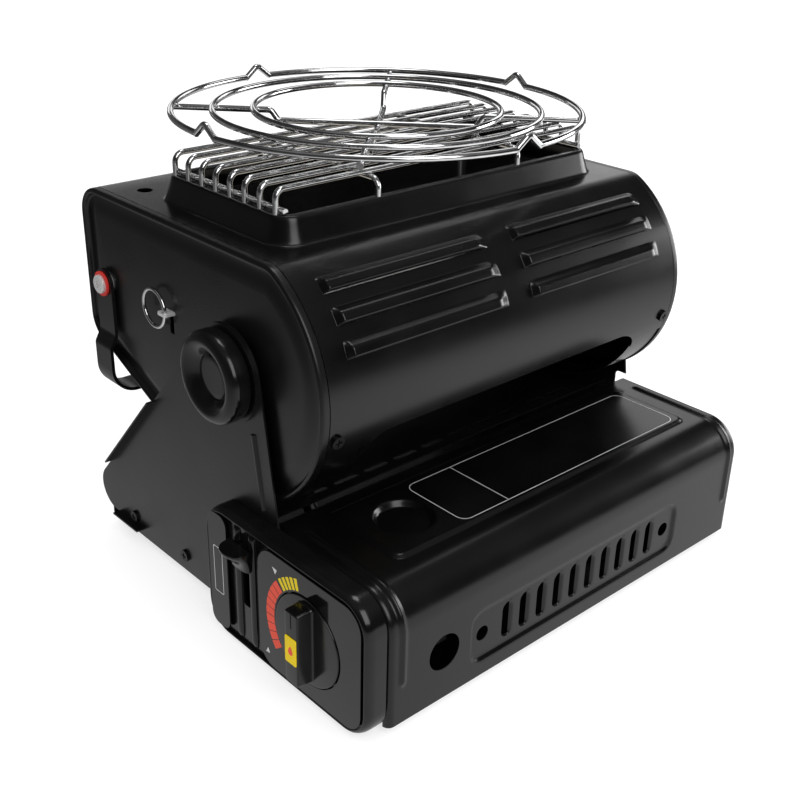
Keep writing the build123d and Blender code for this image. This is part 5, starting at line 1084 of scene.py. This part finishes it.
def floor():
    """Pale floor that keeps the object's shadow."""
    mesh = bpy.data.meshes.new("floor")
    work = bmesh.new()
    bmesh.ops.create_circle(work, cap_ends=True, radius=FLOOR_RADIUS, segments=64)
    work.to_mesh(mesh)
    work.free()
    made = bpy.data.objects.new("floor", mesh)
    bpy.context.scene.collection.objects.link(made)
    finish = Finish("floor", Roughness=0.9)
    finish.shader.inputs["Specular IOR Level"].default_value = 0.0
    finish.shader.inputs["Emission Color"].default_value = (1.0, 1.0, 1.0, 1.0)
    away = finish.tree.nodes.new("ShaderNodeVectorMath")
    away.operation = "DISTANCE"
    away.inputs[1].default_value = MIRROR_MIDDLE
    finish.join(finish.place, away.inputs[0])
    mirrored = finish.spread(away.outputs["Value"], *MIRROR_GLOW, *MIRROR_FADE)
    path = finish.tree.nodes.new("ShaderNodeLightPath")
    mirror_part = finish.tree.nodes.new("ShaderNodeMath")
    mirror_part.operation = "MULTIPLY"
    finish.join(mirrored, mirror_part.inputs[0])
    finish.join(path.outputs["Is Glossy Ray"], mirror_part.inputs[1])
    glow = finish.sum(mirror_part.outputs[0], path.outputs["Is Camera Ray"], FLOOR_GLOW)
    finish.set("Emission Strength", glow)
    finish.set("Base Color", finish.mix(path.outputs["Is Glossy Ray"], FLOOR_COLOUR, (0.0, 0.0, 0.0)))
    mesh.materials.append(finish.material)


def world():
    """Even light from all round; mirrored, it is dark, and a little lighter at the horizon and overhead."""
    made = bpy.data.worlds.new("world")
    bpy.context.scene.world = made
    made.use_nodes = True
    tree = made.node_tree
    shade = tree.nodes["Background"]
    place = tree.nodes.new("ShaderNodeTexCoord")
    lean = tree.nodes.new("ShaderNodeVectorMath")
    lean.operation = "DOT_PRODUCT"
    lean.inputs[1].default_value = (0.0, SKY_LEAN, 1.0)
    ramp = tree.nodes.new("ShaderNodeValToRGB")
    ramp.color_ramp.interpolation = "EASE"
    for _ in SKY_MIRRORED[2:]:
        ramp.color_ramp.elements.new(1.0)
    for element, (height, grey) in zip(ramp.color_ramp.elements, SKY_MIRRORED):
        element.position = height
        element.color = (grey, grey, grey, 1.0)
    path = tree.nodes.new("ShaderNodeLightPath")
    choice = tree.nodes.new("ShaderNodeMix")
    choice.data_type = "RGBA"
    plain, mirrored = [s for s in choice.inputs if s.type == "RGBA"]
    plain.default_value = SKY_LIGHT
    tree.links.new(place.outputs["Generated"], lean.inputs[0])
    tree.links.new(lean.outputs["Value"], ramp.inputs["Fac"])
    tree.links.new(ramp.outputs["Color"], mirrored)
    tree.links.new(path.outputs["Is Glossy Ray"], choice.inputs[0])
    tree.links.new([s for s in choice.outputs if s.type == "RGBA"][0], shade.inputs["Color"])


def studio():
    """Floor, world, lamps and camera."""
    bpy.context.scene.view_settings.view_transform = "Standard"
    floor()
    world()
    for name, (at, size, power) in LAMPS.items():
        softbox(name, at, LAMP_AIM, size, power)
    camera()


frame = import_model()
tilt = next(j for j in frame["record"]["behaviour"]["joints"] if j["name"] == "head_tilt")
OFFSET = Vector(tilt["pos_m"]) / MM - Vector((0.0, PIVOT_Y, PIVOT_Z))
SECTORS = sectors()
looks = finishes()
dress(frame)
upper_shell()
for side in (-1, 1):
    end_plate(side)
    clamp_knob(side)
opening_collar()
cartridge_lid()
control_bezel()
valve_knob()
gas_lever()
prints()
studio()
